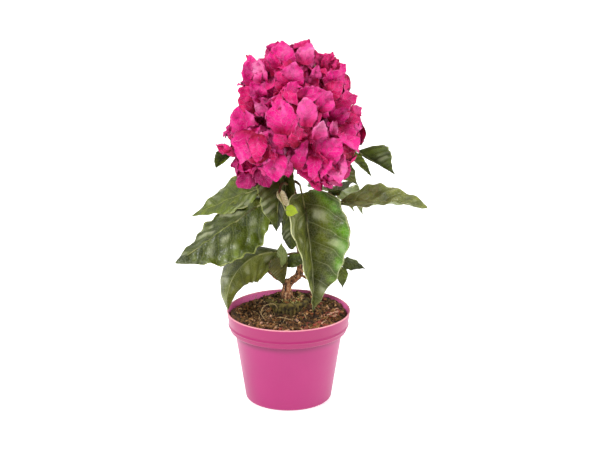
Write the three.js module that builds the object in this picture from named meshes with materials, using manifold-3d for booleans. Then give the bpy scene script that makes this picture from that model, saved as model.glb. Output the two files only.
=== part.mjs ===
// A small bougainvillea in flower, trained as a cone on one stem, in its plastic pot.
// Millimetres, +Z up, -Y to the front. The origin is the middle of the pot's flat underside.
import * as THREE from "three";
import { mergeVertices } from "three/addons/utils/BufferGeometryUtils.js";
import Module from "manifold-3d";

const wasm = await Module();
wasm.setup();
const V = (x, y, z) => new THREE.Vector3(x, y, z);
const up = V(0, 0, 1);
const radians = THREE.MathUtils.degToRad;
const mix = THREE.MathUtils.lerp;

// Gap between one piece and the next
const clearance = 0.3;

// Pot: a tapered cup with a wider band round its rim
const pot = {
  height: 88, sides: 32, wall: 1.5, floor: 2,
  baseRadius: 41.1, baseRounding: 3.4, bodyTopRadius: 51.1,
  bandHeight: 20, bandFootRadius: 55.6, rimRadius: 58.9, ridgeDrop: 14, ridge: 0.7, chamfer: 1.2,
  drains: 6, drainRadius: 4, drainCircle: 27, drainSides: 12,
};

// Compost filling the pot, higher at the back, and the ribbed nursery plug that stands proud of it
const compost = {
  level: 82, slope: 0.03, lump: 1.1, waves: [0.31, 0.27, 0.19, 0.43], rings: [0, 10, 21, 32, 43, 54.5],
  shelf: 52,
};
const plug = { x: -1, y: 11, radius: 21, foot: 74, top: 96, ribs: 14, ribDepth: 0.9, dome: 2, flat: 0.8 };

// Woody limbs: each is one smooth tapering route
const trunk = {
  route: [V(-1.4, 10, 96.3), V(-1.6, 10, 102), V(-1, 10, 111)], foot: 5, tip: 4.1, flare: 0.35, sides: 10,
};
const leader = {
  route: [V(-1, 10, 110), V(4, 10, 114), V(9.6, 10, 119), V(11.6, 10, 131), V(10.6, 10, 152), V(9, 10, 176),
    V(6, 10, 197), V(2.8, 10, 215), V(3, 8.5, 240), V(4.5, 6.5, 268), V(5, 5, 298)],
  foot: 3.7, tip: 1.2, sides: 8,
};
const leftBough = {
  route: [V(-1, 10, 110), V(-6.5, 8.6, 114.6), V(-12, 6, 119), V(-18, 4, 124.5)],
  foot: 3.3, tip: 1.8, sides: 8,
};
const spur = {
  route: [V(10.5, 10, 121), V(14.5, 7.5, 118.4), V(17, 5, 117.6), V(19.5, 3, 119.6)],
  foot: 1.2, tip: 0.8, sides: 6,
};
// The flared foot of a limb swells by `even` all round and by more at each of its lobes
const flareForm = { even: 1.2, lobes: 5 };

// Outline of a leaf and of a bract, and its thickness for its length
const leafForm = { rise: 0.6, fall: 1.25, thickness: 0.013, across: 8, along: 5, offset: 1.7 };
const bractForm = {
  around: 12, reach: [0, 0.6, 1, 0.6], face: [1, 1, 0, -1], thickness: 0.7, notch: 0.24, fullness: 0.7,
};

// Leafy shoots: a stem from the limb, and leaves on stalks from one of its points.
// Azimuth is in plan from +X, pitch above the level, droop the leaf's whole turn downwards.
const twig = { foot: 1.5, tip: 1, sides: 3, stalk: 0.9, sunk: 2, sag: 2, rise: 0.5 };
const shoots = [
  {
    name: "leaves_left",
    stem: [V(4.4, 10, 206), V(-8, 10.5, 206), V(-17, 13, 207)],
    leaves: [
      {
        at: 2, stalk: 8, azimuth: 173, pitch: -14, length: 76, width: 36,
        droop: 25, roll: -30, fold: -8, wave: 1.5,
      },
      {
        at: 1, node: V(-12, 2, 201), stalk: 8, azimuth: -166, pitch: -17, length: 108, width: 68,
        droop: 30, roll: -32, fold: -20, wave: 2.5,
      },
    ],
  },
  {
    name: "leaves_left_tip",
    stem: [V(2.9, 9, 233), V(-18, 9, 239), V(-36, 9, 245)],
    leaves: [{ at: 2, stalk: 6, azimuth: -171, pitch: -17, length: 32, width: 14, droop: 30, wave: 0.8 }],
  },
  {
    name: "leaves_middle",
    stem: [V(2.9, 9.5, 226), V(-2, 4, 230), V(-6, 0, 230)],
    leaves: [
      { at: 2, stalk: 6, azimuth: -105, pitch: -68, length: 58, width: 34, droop: 15, roll: -28, wave: 1.2 },
    ],
  },
  {
    name: "leaves_front",
    stem: [V(3.2, 10, 212), V(7, 2, 214), V(11, -6, 213)],
    leaves: [
      { at: 2, stalk: 8, azimuth: -58, pitch: -70, length: 112, width: 77, droop: 10, fold: 32, wave: 3 },
    ],
  },
  {
    name: "leaves_right",
    stem: [V(7.2, 10, 188), V(18, 9, 186), V(34, 5, 188)],
    leaves: [
      {
        at: 2, stalk: 8, azimuth: -8, pitch: 18, length: 90, width: 48,
        droop: 36, roll: 4, fold: 14, wave: 6, waves: 1.6, phase: 1.9,
      },
      {
        at: 1, node: V(31, 20, 189), stalk: 6, azimuth: 25, pitch: 29, length: 44, width: 22,
        droop: 10, wave: 1,
      },
    ],
  },
  {
    name: "leaves_right_top",
    stem: [V(2.9, 9.2, 229), V(30, 16, 234), V(65, 18, 240)],
    leaves: [
      { at: 2, stalk: 6, azimuth: 4, pitch: -22, length: 42, width: 28, droop: 35, roll: 40, wave: 1.5 },
      { at: 2, stalk: 5, azimuth: -17, pitch: -55, length: 28, width: 13, droop: 10, wave: 0.4 },
    ],
  },
  {
    name: "leaves_left_low",
    stem: [V(11.2, 10, 140), V(2, 6, 142), V(-6, 2, 143)],
    leaves: [
      { at: 2, stalk: 6, azimuth: -141, pitch: 10, length: 78, width: 42, droop: 90, roll: -25, wave: 2.5 },
      {
        at: 1, node: V(-4, -3, 137), stalk: 4, azimuth: -106, pitch: 86, length: 20, width: 11,
        droop: 10, wave: 0,
      },
      {
        at: 1, node: V(-8, -5, 143), stalk: 4, azimuth: -90, pitch: -62, length: 23, width: 18,
        droop: 10, wave: 0,
      },
    ],
  },
  {
    name: "leaves_stub",
    stem: [V(-12, 6, 119), V(-13, 2, 124), V(-14, 0, 130)],
    leaves: [{ at: 2, stalk: 5, azimuth: 160, pitch: 40, length: 26, width: 13, droop: 40, wave: 0.6 }],
  },
  {
    name: "leaves_right_low",
    stem: [V(11.4, 10, 134), V(28, 12, 131), V(45, 12, 131)],
    leaves: [
      { at: 2, stalk: 5, azimuth: 6, pitch: -3, length: 25, width: 17, droop: 30, roll: -30, wave: 0.6 },
      { at: 2, stalk: 5, azimuth: -38, pitch: -64, length: 22, width: 10, droop: 15, wave: 0.4 },
      { at: 1, stalk: 5, azimuth: 150, pitch: -55, length: 26, width: 12, droop: 20, wave: 0.4 },
    ],
  },
  {
    name: "leaves_back_left",
    stem: [V(8, 10, 184), V(0, 20, 185), V(-10, 30, 188)],
    leaves: [
      { at: 2, stalk: 8, azimuth: 138, pitch: 0, length: 88, width: 46, droop: 45, roll: 10, wave: 2.5 },
      { at: 1, stalk: 8, azimuth: 200, pitch: -20, length: 58, width: 30, droop: 40, roll: -10, wave: 1.6 },
    ],
  },
  {
    name: "leaves_back_right",
    stem: [V(5, 10, 203), V(13, 22, 203), V(21, 33, 205)],
    leaves: [
      { at: 2, stalk: 8, azimuth: 52, pitch: -5, length: 92, width: 48, droop: 50, roll: -8, wave: 2.5 },
      { at: 1, stalk: 8, azimuth: 96, pitch: -35, length: 70, width: 38, droop: 35, roll: 6, wave: 1.8 },
    ],
  },
  {
    name: "leaves_back_low",
    stem: [V(11.2, 10, 144), V(14, 20, 143), V(17, 29, 145)],
    leaves: [
      { at: 2, stalk: 7, azimuth: 78, pitch: 0, length: 66, width: 38, droop: 65, roll: 5, wave: 2 },
      { at: 1, stalk: 7, azimuth: 20, pitch: 15, length: 44, width: 22, droop: 60, roll: -10, wave: 1.2 },
    ],
  },
];

// Flower heads: middle and radius of each, and a seed for its blooms
const heads = [
  { name: "bracts_top", centre: V(4, 0, 314), radius: 30, seed: 11 },
  { name: "bracts_front", centre: V(8, -36, 290), radius: 30, seed: 12 },
  { name: "bracts_upper_left", centre: V(-20, -4, 304), radius: 25, seed: 13 },
  { name: "bracts_upper_right", centre: V(33, -2, 304), radius: 25, seed: 84 },
  { name: "bracts_left", centre: V(-40, -2, 263), radius: 24, seed: 15 },
  { name: "bracts_right", centre: V(48, 0, 263), radius: 24, seed: 22 },
  { name: "bracts_front_left", centre: V(-23, -33, 254), radius: 26, seed: 17 },
  { name: "bracts_front_right", centre: V(34, -33, 247), radius: 28, seed: 18 },
  { name: "bracts_low_left", centre: V(-34, 4, 230), radius: 20, seed: 19 },
  { name: "bracts_back_top", centre: V(8, 34, 298), radius: 29, seed: 20 },
  { name: "bracts_back_left", centre: V(-21, 37, 259), radius: 28, seed: 21 },
  { name: "bracts_back_right", centre: V(35, 37, 259), radius: 28, seed: 24 },
  { name: "bracts_back", centre: V(8, 36, 235), radius: 24, seed: 23 },
];
const crown = { x: 6, y: 1, z: 268 };

// Blooms: directions spread evenly round each head, less those that look inwards, stand in another head
// or crowd a bloom already there. A bloom is a bell whose rim runs out into three bracts, each of which
// leaves the axis at `start` and turns by `bend`.
const bloom = {
  core: 0.42, tried: 34, inward: -0.35, jitter: 0.3, depth: 19, spacing: 26, buried: 0.86, bracts: 3,
};
const bract = { length: [26, 33], start: [24, 42], bend: [26, 50], turn: 8 };
// Any direction that no bloom faces
const skew = V(0.21, 0.35, 0.91);
// A bloom that would touch its neighbour closes up and shortens by these shares before it is left out
const retreats = [1, 0.9, 0.8, 0.7, 0.6, 0.5];

// Seeded numbers from 0 to 1
function stream(seed) {
  const modulus = 2147483647;
  let state = (seed * 7919) % modulus;
  const next = () => {
    state = (state * 48271) % modulus;
    return state / modulus;
  };
  for (let i = 0; i < 5; i++) next();
  return next;
}
const between = (random, [low, high]) => mix(low, high, random());

// A closed three.js geometry as a solid, each vertex moved by `place`
function solidOf(geometry, place = (point) => point) {
  const bare = new THREE.BufferGeometry();
  if (geometry.index) bare.setIndex(geometry.index);
  const points = geometry.attributes.position.clone();
  const point = new THREE.Vector3();
  for (let i = 0; i < points.count; i++) {
    point.fromBufferAttribute(points, i);
    const moved = place(point);
    points.setXYZ(i, moved.x, moved.y, moved.z);
  }
  bare.setAttribute("position", points);
  const { index, attributes } = mergeVertices(bare, 1e-4);
  const triVerts = new Uint32Array(index.array);
  const vertProperties = attributes.position.array;
  return new wasm.Manifold(new wasm.Mesh({ numProp: 3, vertProperties, triVerts }));
}
const joined = (solids) => solids.reduce((whole, solid) => whole.add(solid));

// The largest body of a solid: loose scraps and sealed hollows go
function largestBody(solid) {
  return solid.decompose().reduce((most, body) => (body.volume() > most.volume() ? body : most));
}

// Tapering limb along a smooth route, `grow` larger all round; a flare swells its foot into lobes
function limbSolid({ route, foot, tip, sides, flare = 0 }, grow = 0, spans = 2) {
  const curve = new THREE.CatmullRomCurve3(route, false, "catmullrom", 0.5);
  const steps = spans * (route.length - 1);
  const frames = curve.computeFrenetFrames(steps);
  const places = frames.tangents.map((_, i) => curve.getPointAt(i / steps));
  places[0].addScaledVector(frames.tangents[0], -grow);
  places[steps].addScaledVector(frames.tangents[steps], grow);
  return solidOf(new THREE.CylinderGeometry(1, 1, 1, sides, steps), (point) => {
    const share = point.y + 0.5;
    const i = Math.round(share * steps);
    const lobe = flareForm.even + Math.cos(flareForm.lobes * Math.atan2(point.z, point.x));
    const radius = mix(foot, tip, share) * (1 + flare * (1 - share) ** 3 * lobe) + grow;
    return places[i].clone()
      .addScaledVector(frames.normals[i], radius * point.x)
      .addScaledVector(frames.binormals[i], -radius * point.z);
  });
}

// Half-width at u of the way from base to tip, as a share of the widest
function outline(u, { rise, fall }) {
  const peak = rise / (rise + fall);
  return (u ** rise * (1 - u) ** fall) / (peak ** rise * (1 - peak) ** fall);
}

// Midrib of a blade: an arc that leaves its axis at `start` degrees towards `out` and turns by `bend`
function midrib({ base, axis, out, length, start, bend }, u) {
  const first = radians(start);
  const turn = radians(bend);
  const last = first + turn * u;
  return base.clone()
    .addScaledVector(axis, (length * (Math.sin(last) - Math.sin(first))) / turn)
    .addScaledVector(out, (length * (Math.cos(first) - Math.cos(last))) / turn);
}

// Directions at u along a blade: along it, to its side, and out of its upper face
function frameAt({ axis, out, start, bend, roll = 0 }, u) {
  const angle = radians(start + bend * u);
  const ahead = axis.clone().multiplyScalar(Math.cos(angle)).addScaledVector(out, Math.sin(angle));
  const side = new THREE.Vector3().crossVectors(axis, out).applyAxisAngle(ahead, radians(roll));
  return { ahead, side, normal: new THREE.Vector3().crossVectors(ahead, side) };
}

// Thin blade from a flattened sphere bent along its midrib, sharp at its margins
function bladeSolid(blade, form, grow = 0) {
  const thick = (form.thickness * blade.length) / 2;
  const fold = radians(blade.fold ?? 0);
  return solidOf(new THREE.SphereGeometry(1, form.across, form.along), (point) => {
    const u = (1 + point.y) / 2;
    const ring = Math.sqrt(Math.max(0, 1 - point.y * point.y));
    const v = ring > 1e-6 ? point.x / ring : 0;
    const half = (outline(u, form) * blade.width) / 2;
    const { side, normal } = frameAt(blade, u);
    const phase = blade.phase + (v > 0 ? form.offset : 0);
    const ripple = blade.wave * v * v * outline(u, form) * Math.sin(2 * Math.PI * blade.waves * u + phase);
    const rise = Math.abs(v) * half * Math.sin(fold) + ripple;
    return midrib(blade, u)
      .addScaledVector(side, v * (half * Math.cos(fold) + grow))
      .addScaledVector(normal, rise - point.z * (thick + grow));
  });
}

// Small twig or stalk
function twigSolid(route, foot = twig.stalk, tip = twig.stalk, grow = 0) {
  return limbSolid({ route, foot, tip, sides: twig.sides }, grow, 1);
}

// Whether a solid reaches into any of the others, tested against their boxes first
function touches(solid, others) {
  const { min, max } = solid.boundingBox();
  return others.some((other) => {
    const box = other.boundingBox();
    const apart = [0, 1, 2].some((k) => min[k] > box.max[k] || max[k] < box.min[k]);
    return !apart && !solid.intersect(other).isEmpty();
  });
}

// One leaf: its twig from the shoot's stem, its stalk and its blade
function leafParts(shoot, leaf) {
  const from = shoot.stem[leaf.at];
  const node = leaf.node ?? from;
  const out = V(Math.cos(radians(leaf.azimuth)), Math.sin(radians(leaf.azimuth)), 0);
  const bent = { axis: up, out, start: 90 - leaf.pitch, bend: leaf.droop };
  const blade = { waves: 3, phase: leaf.azimuth, ...leaf, ...bent };
  blade.base = node.clone().addScaledVector(frameAt(blade, 0).ahead, leaf.stalk);
  const stalk = [node, blade.base, midrib(blade, twig.sunk / blade.length)];
  return { blade, route: leaf.node ? [from, ...stalk] : stalk };
}

// Leafy shoot: its stem meets the limb clear of its bark, and its leaves keep off every other piece
function shootSolid(shoot, limbs, others) {
  const stem = twigSolid(shoot.stem, twig.foot, twig.tip);
  const leaves = shoot.leaves.flatMap((leaf) => {
    const { blade, route } = leafParts(shoot, leaf);
    const guard = bladeSolid(blade, leafForm, clearance);
    return touches(guard, others) ? [] : [bladeSolid(blade, leafForm), twigSolid(route)];
  });
  return cutClear(joined([stem, ...leaves]), limbs);
}
const cutClear = (solid, limbs) => largestBody(limbs.reduce((rest, limb) => rest.subtract(limb), solid));

// Point of the leader at a height
function leaderAt(height) {
  const places = new THREE.CatmullRomCurve3(leader.route, false, "catmullrom", 0.5).getPoints(200);
  const miss = (place) => Math.abs(place.z - height);
  return places.reduce((best, place) => (miss(place) < miss(best) ? place : best));
}

// The bracts of a flower that faces `facing`: each has its own turn round it, length and opening
function bractsOf(facing, random) {
  const across = new THREE.Vector3().crossVectors(facing, skew).normalize();
  const first = 360 * random();
  return Array.from({ length: bloom.bracts }, (_, k) => {
    const turn = radians(first + (360 * k) / bloom.bracts + bract.turn * (2 * random() - 1));
    return {
      out: across.clone().applyAxisAngle(facing, turn), length: between(random, bract.length),
      start: between(random, bract.start), bend: between(random, bract.bend),
    };
  });
}

// Bell with three bracts on its stalk, from a sphere: its rings are the throat, the inner face, the rim,
// the outer face, the end of the stalk and, as a point, the stalk's foot in the hub
function bloomSolid({ place, facing, bracts }, hub, share = 1, grow = 0) {
  const [{ out: east }] = bracts;
  const north = new THREE.Vector3().crossVectors(facing, east);
  const { around, reach, face, thickness, notch, fullness } = bractForm;
  const rings = reach.length + 1;
  return solidOf(new THREE.SphereGeometry(1, around, rings), (point) => {
    const ring = Math.round((rings * Math.acos(THREE.MathUtils.clamp(point.y, -1, 1))) / Math.PI);
    if (ring === rings) return hub;
    if (ring === 0) return place.clone().addScaledVector(facing, 2 * thickness + grow);
    const turn = Math.atan2(-point.z, point.x);
    const out = east.clone().multiplyScalar(Math.cos(turn)).addScaledVector(north, Math.sin(turn));
    if (ring === rings - 1) return place.clone().addScaledVector(out, twig.stalk + grow);
    const nearest = bracts.reduce((best, next) => (next.out.dot(out) > best.out.dot(out) ? next : best));
    const offset = Math.acos(Math.min(1, nearest.out.dot(out)));
    const lobe = notch + (1 - notch) * Math.max(0, Math.cos((bloom.bracts / 2) * offset)) ** fullness;
    const length = nearest.length * share * lobe + grow;
    const { start, bend } = nearest;
    const streak = { base: place, axis: facing, out, length, start, bend: bend * share };
    const lift = face[ring] * (thickness / 2 + grow);
    return midrib(streak, reach[ring]).addScaledVector(frameAt(streak, reach[ring]).normal, lift);
  });
}

// The blooms of every head, head by head
function crownBlooms() {
  const golden = 180 * (3 - Math.sqrt(5));
  const middle = V(crown.x, crown.y, crown.z);
  const found = [];
  for (const head of heads) {
    const random = stream(head.seed);
    const first = 360 * random();
    const outward = head.centre.clone().sub(middle).normalize();
    for (let i = 0; i < bloom.tried; i++) {
      const height = 1 - (2 * i + 1) / bloom.tried;
      const ring = Math.sqrt(1 - height * height);
      const turn = radians(first + golden * i);
      const stray = V(random() - 0.5, random() - 0.5, random() - 0.5).multiplyScalar(bloom.jitter);
      const facing = V(ring * Math.cos(turn), ring * Math.sin(turn), height).add(stray).normalize();
      const mouth = head.centre.clone().addScaledVector(facing, head.radius);
      const place = mouth.clone().addScaledVector(facing, -bloom.depth);
      const bracts = bractsOf(facing, random);
      const within = (other) => other.centre.distanceTo(mouth) < bloom.buried * other.radius;
      const buried = heads.some((other) => other !== head && within(other));
      const crowded = found.some((other) => other.mouth.distanceTo(mouth) < bloom.spacing);
      const inward = facing.dot(outward) < bloom.inward;
      if (!buried && !crowded && !inward) found.push({ head, mouth, place, facing, bracts });
    }
  }
  return found;
}

const allBlooms = crownBlooms();

// Stem of a flower head, from the leader to the small ball at its middle
function headStem({ centre, radius }, grow = 0) {
  const foot = leaderAt(centre.z - twig.rise * Math.hypot(centre.x - crown.x, centre.y - crown.y));
  const middle = foot.clone().lerp(centre, 0.5).add(V(0, 0, -twig.sag));
  const ball = new THREE.IcosahedronGeometry(bloom.core * radius + grow, 0).translate(...centre);
  return twigSolid([foot, middle, centre], twig.foot, twig.tip, grow).add(solidOf(ball));
}

// Flower head: its stem and, on a stalk each, the blooms that find room
function headSolid(head, limbs, others) {
  const blooms = allBlooms.filter((each) => each.head === head);
  const hub = head.centre;
  const solids = [headStem(head)];
  const open = [];
  for (const each of blooms) {
    const neighbours = [...others, ...open];
    const share = retreats.find((tried) => !touches(bloomSolid(each, hub, tried, clearance), neighbours));
    if (share) open.push(bloomSolid(each, hub, share));
  }
  return cutClear(joined([...solids, ...open]), limbs);
}

// Points of an arc round (x, y) in a profile, from one angle to another
function arc(x, y, radius, first, last, steps) {
  return Array.from({ length: steps + 1 }, (_, i) => {
    const angle = radians(mix(first, last, i / steps));
    return [x + radius * Math.cos(angle), y + radius * Math.sin(angle)];
  });
}

// Pot: a closed profile turned round its axis, with drain holes clear of the middle
function potSolid() {
  const { height, wall, floor, chamfer, baseRadius, baseRounding } = pot;
  const { bodyTopRadius, bandFootRadius, rimRadius } = pot;
  const bandFoot = height - pot.bandHeight;
  const ridgeZ = height - pot.ridgeDrop;
  const bandAt = (z) => mix(bandFootRadius, rimRadius, (z - bandFoot) / pot.bandHeight);
  const outside = [
    [0, 0],
    ...arc(baseRadius - baseRounding, baseRounding, baseRounding, -90, 0, 3),
    [bodyTopRadius, bandFoot - chamfer],
    [bodyTopRadius + chamfer, bandFoot],
    [bandFootRadius - chamfer, bandFoot],
    [bandFootRadius, bandFoot + chamfer],
    [bandAt(ridgeZ - pot.ridge), ridgeZ - pot.ridge],
    [bandAt(ridgeZ) + pot.ridge, ridgeZ],
    [bandAt(ridgeZ + pot.ridge), ridgeZ + pot.ridge],
  ];
  const lip = arc(rimRadius - wall / 2, height - wall / 2, wall / 2, 0, 180, 2);
  const inside = [
    [bandFootRadius - wall, bandFoot + wall + chamfer],
    [bandFootRadius - wall - chamfer, bandFoot + wall],
    [bodyTopRadius - wall, bandFoot + wall],
    [baseRadius - wall, floor + baseRounding],
    [baseRadius - wall - baseRounding / 2, floor],
    [0, floor],
  ];
  const profile = [...outside, ...lip, ...inside].map(([x, y]) => new THREE.Vector2(x, y));
  const turned = new THREE.LatheGeometry(profile, pot.sides).rotateX(Math.PI / 2);
  const drain = new THREE.CylinderGeometry(pot.drainRadius, pot.drainRadius, 4 * floor, pot.drainSides);
  drain.rotateX(Math.PI / 2).translate(pot.drainCircle, 0, 0);
  return Array.from({ length: pot.drains }, (_, i) => (2 * Math.PI * i) / pot.drains)
    .map((turn) => solidOf(drain.clone().rotateZ(turn)))
    .reduce((cup, hole) => cup.subtract(hole), solidOf(turned));
}

// Ribbed plug: a cylinder with fluted sides and a rounded shoulder, flat under the trunk
function plugSolid(grow = 0) {
  const tall = plug.top - plug.foot + 2 * grow;
  const rings = 4;
  return solidOf(new THREE.CylinderGeometry(1, 1, tall, 2 * plug.ribs, rings), (point) => {
    const turn = Math.atan2(-point.z, point.x);
    const share = point.y / tall + 0.5;
    const ring = Math.round(share * rings);
    const flute = plug.ribDepth * (0.5 - 0.5 * Math.cos(plug.ribs * turn));
    const side = (plug.radius - flute + grow) * (ring === rings ? plug.flat : 1);
    const reach = side * Math.hypot(point.x, point.z);
    const z = plug.foot - grow + tall * share + (ring === rings - 1 ? plug.dome : 0);
    return V(plug.x + reach * Math.cos(turn), plug.y + reach * Math.sin(turn), z);
  });
}

// Compost: fills the pot clear of its wall, with a lumpy top that rises to the back and a pocket for the plug
function compostSolid() {
  const gap = pot.wall + clearance;
  const bandFoot = pot.height - pot.bandHeight;
  const floor = pot.floor + clearance;
  const low = [
    [0, floor],
    [pot.baseRadius - gap - pot.baseRounding, floor],
    [pot.baseRadius - gap, floor + pot.baseRounding],
    [pot.bodyTopRadius - gap, bandFoot + gap],
    [compost.shelf, bandFoot + gap],
  ];
  const top = compost.rings.toReversed().map((radius) => [radius, compost.level]);
  const profile = [...low, ...top].map(([x, y]) => new THREE.Vector2(x, y));
  const turned = new THREE.LatheGeometry(profile, pot.sides).rotateX(Math.PI / 2);
  const [along, across, slant, counter] = compost.waves;
  const filled = solidOf(turned, ({ x, y, z }) => {
    const coarse = Math.sin(x * along) * Math.cos(y * across);
    const fine = Math.sin((x + y) * slant) * Math.cos((x - y) * counter);
    const raised = z + compost.slope * y + compost.lump * (coarse + fine);
    return V(x, y, z < compost.level - clearance ? z : raised);
  });
  return largestBody(filled.subtract(plugSolid(clearance)));
}

// Materials: colour, roughness and metalness
const finish = (color, roughness) => new THREE.MeshStandardMaterial({ color, roughness, metalness: 0 });
const materials = {
  pot: finish(0xcd4e8f, 0.5),
  compost: finish(0x5a4125, 0.95),
  plug: finish(0x5b5226, 0.95),
  bark: finish(0x7e593c, 0.85),
  leaf: finish(0x5f6b37, 0.45),
  bract: finish(0xd92a7d, 0.6),
};

// A solid as a named mesh
function meshOf(name, solid, material) {
  const { numProp, vertProperties, triVerts } = solid.getMesh();
  const points = new Float32Array((vertProperties.length / numProp) * 3);
  for (let i = 0; i < points.length; i++) {
    points[i] = vertProperties[Math.floor(i / 3) * numProp + (i % 3)];
  }
  const geometry = new THREE.BufferGeometry().setIndex(new THREE.BufferAttribute(triVerts, 1));
  geometry.setAttribute("position", new THREE.BufferAttribute(points, 3));
  geometry.computeVertexNormals();
  const mesh = new THREE.Mesh(geometry, material);
  mesh.name = name;
  return mesh;
}

// Limbs, each cut clear of those it springs from
const limbs = [trunk, leader, leftBough, spur].map((limb) => limbSolid(limb, clearance));
const [aroundTrunk, aroundLeader] = limbs;
const limbNodes = [
  ["trunk", limbSolid(trunk)],
  ["leader", cutClear(limbSolid(leader), [aroundTrunk])],
  ["bough_left", cutClear(limbSolid(leftBough), [aroundTrunk, aroundLeader])],
  ["spur", cutClear(limbSolid(spur), [aroundLeader])],
];

// Masses one after another, so that each keeps clear of those before it and of the stems of all the heads
const massNodes = [];
const stems = heads.map((head) => headStem(head, clearance));
const placed = () => massNodes.map(([, solid]) => solid);
for (const shoot of shoots) {
  massNodes.push([shoot.name, shootSolid(shoot, limbs, [...placed(), ...stems])]);
}
heads.forEach((head, i) => {
  const others = [...placed(), ...limbs, ...stems.filter((_, k) => k !== i)];
  massNodes.push([head.name, headSolid(head, limbs, others)]);
});

const root = new THREE.Group();
root.add(meshOf("pot", potSolid(), materials.pot));
root.add(meshOf("compost", compostSolid(), materials.compost));
root.add(meshOf("root_plug", plugSolid(), materials.plug));
for (const [name, solid] of limbNodes) root.add(meshOf(name, solid, materials.bark));
for (const [name, solid] of massNodes) {
  root.add(meshOf(name, solid, name.startsWith("bracts") ? materials.bract : materials.leaf));
}

export default root;
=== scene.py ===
import math

import bpy
import numpy as np
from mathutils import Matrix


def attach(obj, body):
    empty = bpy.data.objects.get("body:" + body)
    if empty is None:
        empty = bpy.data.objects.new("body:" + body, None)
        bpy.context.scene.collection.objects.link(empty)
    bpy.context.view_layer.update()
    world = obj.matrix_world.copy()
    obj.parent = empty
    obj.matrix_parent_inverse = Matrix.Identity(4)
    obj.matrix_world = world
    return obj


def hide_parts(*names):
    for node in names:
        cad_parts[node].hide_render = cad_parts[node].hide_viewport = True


# A small bougainvillea in flower in its plastic pot. Shapes are worked out in millimetres, +Z up and
# -Y to the front, by the rules of the part's own source, and written to the meshes in metres.
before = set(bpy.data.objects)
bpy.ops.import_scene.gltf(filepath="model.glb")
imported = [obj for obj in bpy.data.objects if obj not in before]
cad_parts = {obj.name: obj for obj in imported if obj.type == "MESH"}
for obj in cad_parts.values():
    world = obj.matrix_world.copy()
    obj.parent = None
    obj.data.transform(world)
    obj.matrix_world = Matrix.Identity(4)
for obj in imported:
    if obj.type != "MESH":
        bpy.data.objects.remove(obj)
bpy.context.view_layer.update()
mm = 0.001
up = np.array([0.0, 0.0, 1.0])
# The camera: its place in metres, how far it looks down in degrees, its focal length and the size of
# its frame in pixels, and its sensor's width in millimetres
view = {
    "place": (0.011, -1.9, 0.7796), "pitch": 17.73, "focal": 2124, "width": 600, "height": 450, "sensor": 36,
}
print("frame loaded,", len(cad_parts), "nodes")


# Shader nodes

class Wire:
    # One output socket of a node; arithmetic on it adds Math nodes
    def __init__(self, paint, socket):
        self.paint = paint
        self.socket = socket

    def math(self, operation, first, second=0.0):
        return self.paint.node("Math", {"operation": operation}, [first, second])

    def __add__(self, other):
        return self.math("ADD", self, other)

    def __sub__(self, other):
        return self.math("SUBTRACT", self, other)

    def __rsub__(self, other):
        return self.math("SUBTRACT", other, self)

    def __mul__(self, other):
        return self.math("MULTIPLY", self, other)

    def __truediv__(self, other):
        return self.math("DIVIDE", self, other)

    def __pow__(self, other):
        return self.math("POWER", self, other)

    __radd__ = __add__
    __rmul__ = __mul__

    def size(self):
        return self.math("ABSOLUTE", self)

    def part(self):
        return self.math("FRACT", self)

    def over(self, level):
        return self.math("GREATER_THAN", self, level)

    def step(self, low, high):
        # Smooth step from 0 at low to 1 at high
        settings = {"interpolation_type": "SMOOTHSTEP"}
        return self.paint.node("MapRange", settings, {"Value": self, "From Min": low, "From Max": high})


class Paint:
    # A material with one Principled shader and a method that adds any other node
    def __init__(self, name, roughness, **sockets):
        self.material = bpy.data.materials.new(name)
        self.material.use_nodes = True
        self.tree = self.material.node_tree
        self.shader = self.tree.nodes["Principled BSDF"]
        self.shader.inputs["Roughness"].default_value = roughness
        for label, value in sockets.items():
            self.shader.inputs[label].default_value = value

    def node(self, kind, settings=None, values=(), output=0):
        # Any node: its settings first, then the values or links of its sockets, by name or number
        made = self.tree.nodes.new("ShaderNode" + kind)
        for label, value in (settings or {}).items():
            setattr(made, label, value)
        for label, value in values.items() if isinstance(values, dict) else enumerate(values):
            if isinstance(value, Wire):
                self.tree.links.new(value.socket, made.inputs[label])
            else:
                made.inputs[label].default_value = value
        return Wire(self, made.outputs[output])

    def uv(self, label):
        return self.node("UVMap", {"uv_map": label})

    def objectPlace(self):
        # Object coordinates in metres
        return self.node("TexCoord", output=3)

    def place(self, scale=(1, 1, 1)):
        return self.node("Mapping", {}, {"Vector": self.objectPlace(), "Scale": scale})

    def axes(self, vector):
        split = self.node("SeparateXYZ", {}, [vector])
        return [Wire(self, split.socket.node.outputs[k]) for k in range(3)]

    def noise(self, scale, detail, vector=None):
        values = {"Scale": scale, "Detail": detail, "Vector": vector or self.place()}
        return self.node("TexNoise", {}, values)

    def cells(self, scale, vector=None, feature="DISTANCE_TO_EDGE"):
        values = {"Scale": scale, "Vector": vector or self.place()}
        return self.node("TexVoronoi", {"feature": feature}, values)

    def mix(self, share, first, second):
        # From the first colour to the second by a share
        return self.node("Mix", {"data_type": "RGBA"}, {0: share, 6: rgb(first), 7: rgb(second)}, output=2)

    def patches(self, body, colour, scale, detail, low, high, share=1.0):
        # A colour laid on in patches, up to a share, where a noise rises from low to high
        return self.mix(self.noise(scale, detail).step(low, high) * share, body, colour)

    def colour(self, value):
        self.link("Base Color", value)

    def link(self, label, value):
        self.tree.links.new(value.socket, self.shader.inputs[label])

    def bump(self, height, depth, strength):
        # Height from 0 to 1 raises the surface by depth in metres
        made = self.node("Bump", {}, {"Height": height, "Distance": depth, "Strength": strength})
        self.link("Normal", made)


def rgb(colour):
    # An sRGB colour from 0 to 255 as linear light
    if isinstance(colour, Wire):
        return colour
    share = np.array(colour) / 255
    linear = np.where(share <= 0.04045, share / 12.92, ((share + 0.055) / 1.055) ** 2.4)
    return (*linear.tolist(), 1.0)


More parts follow.
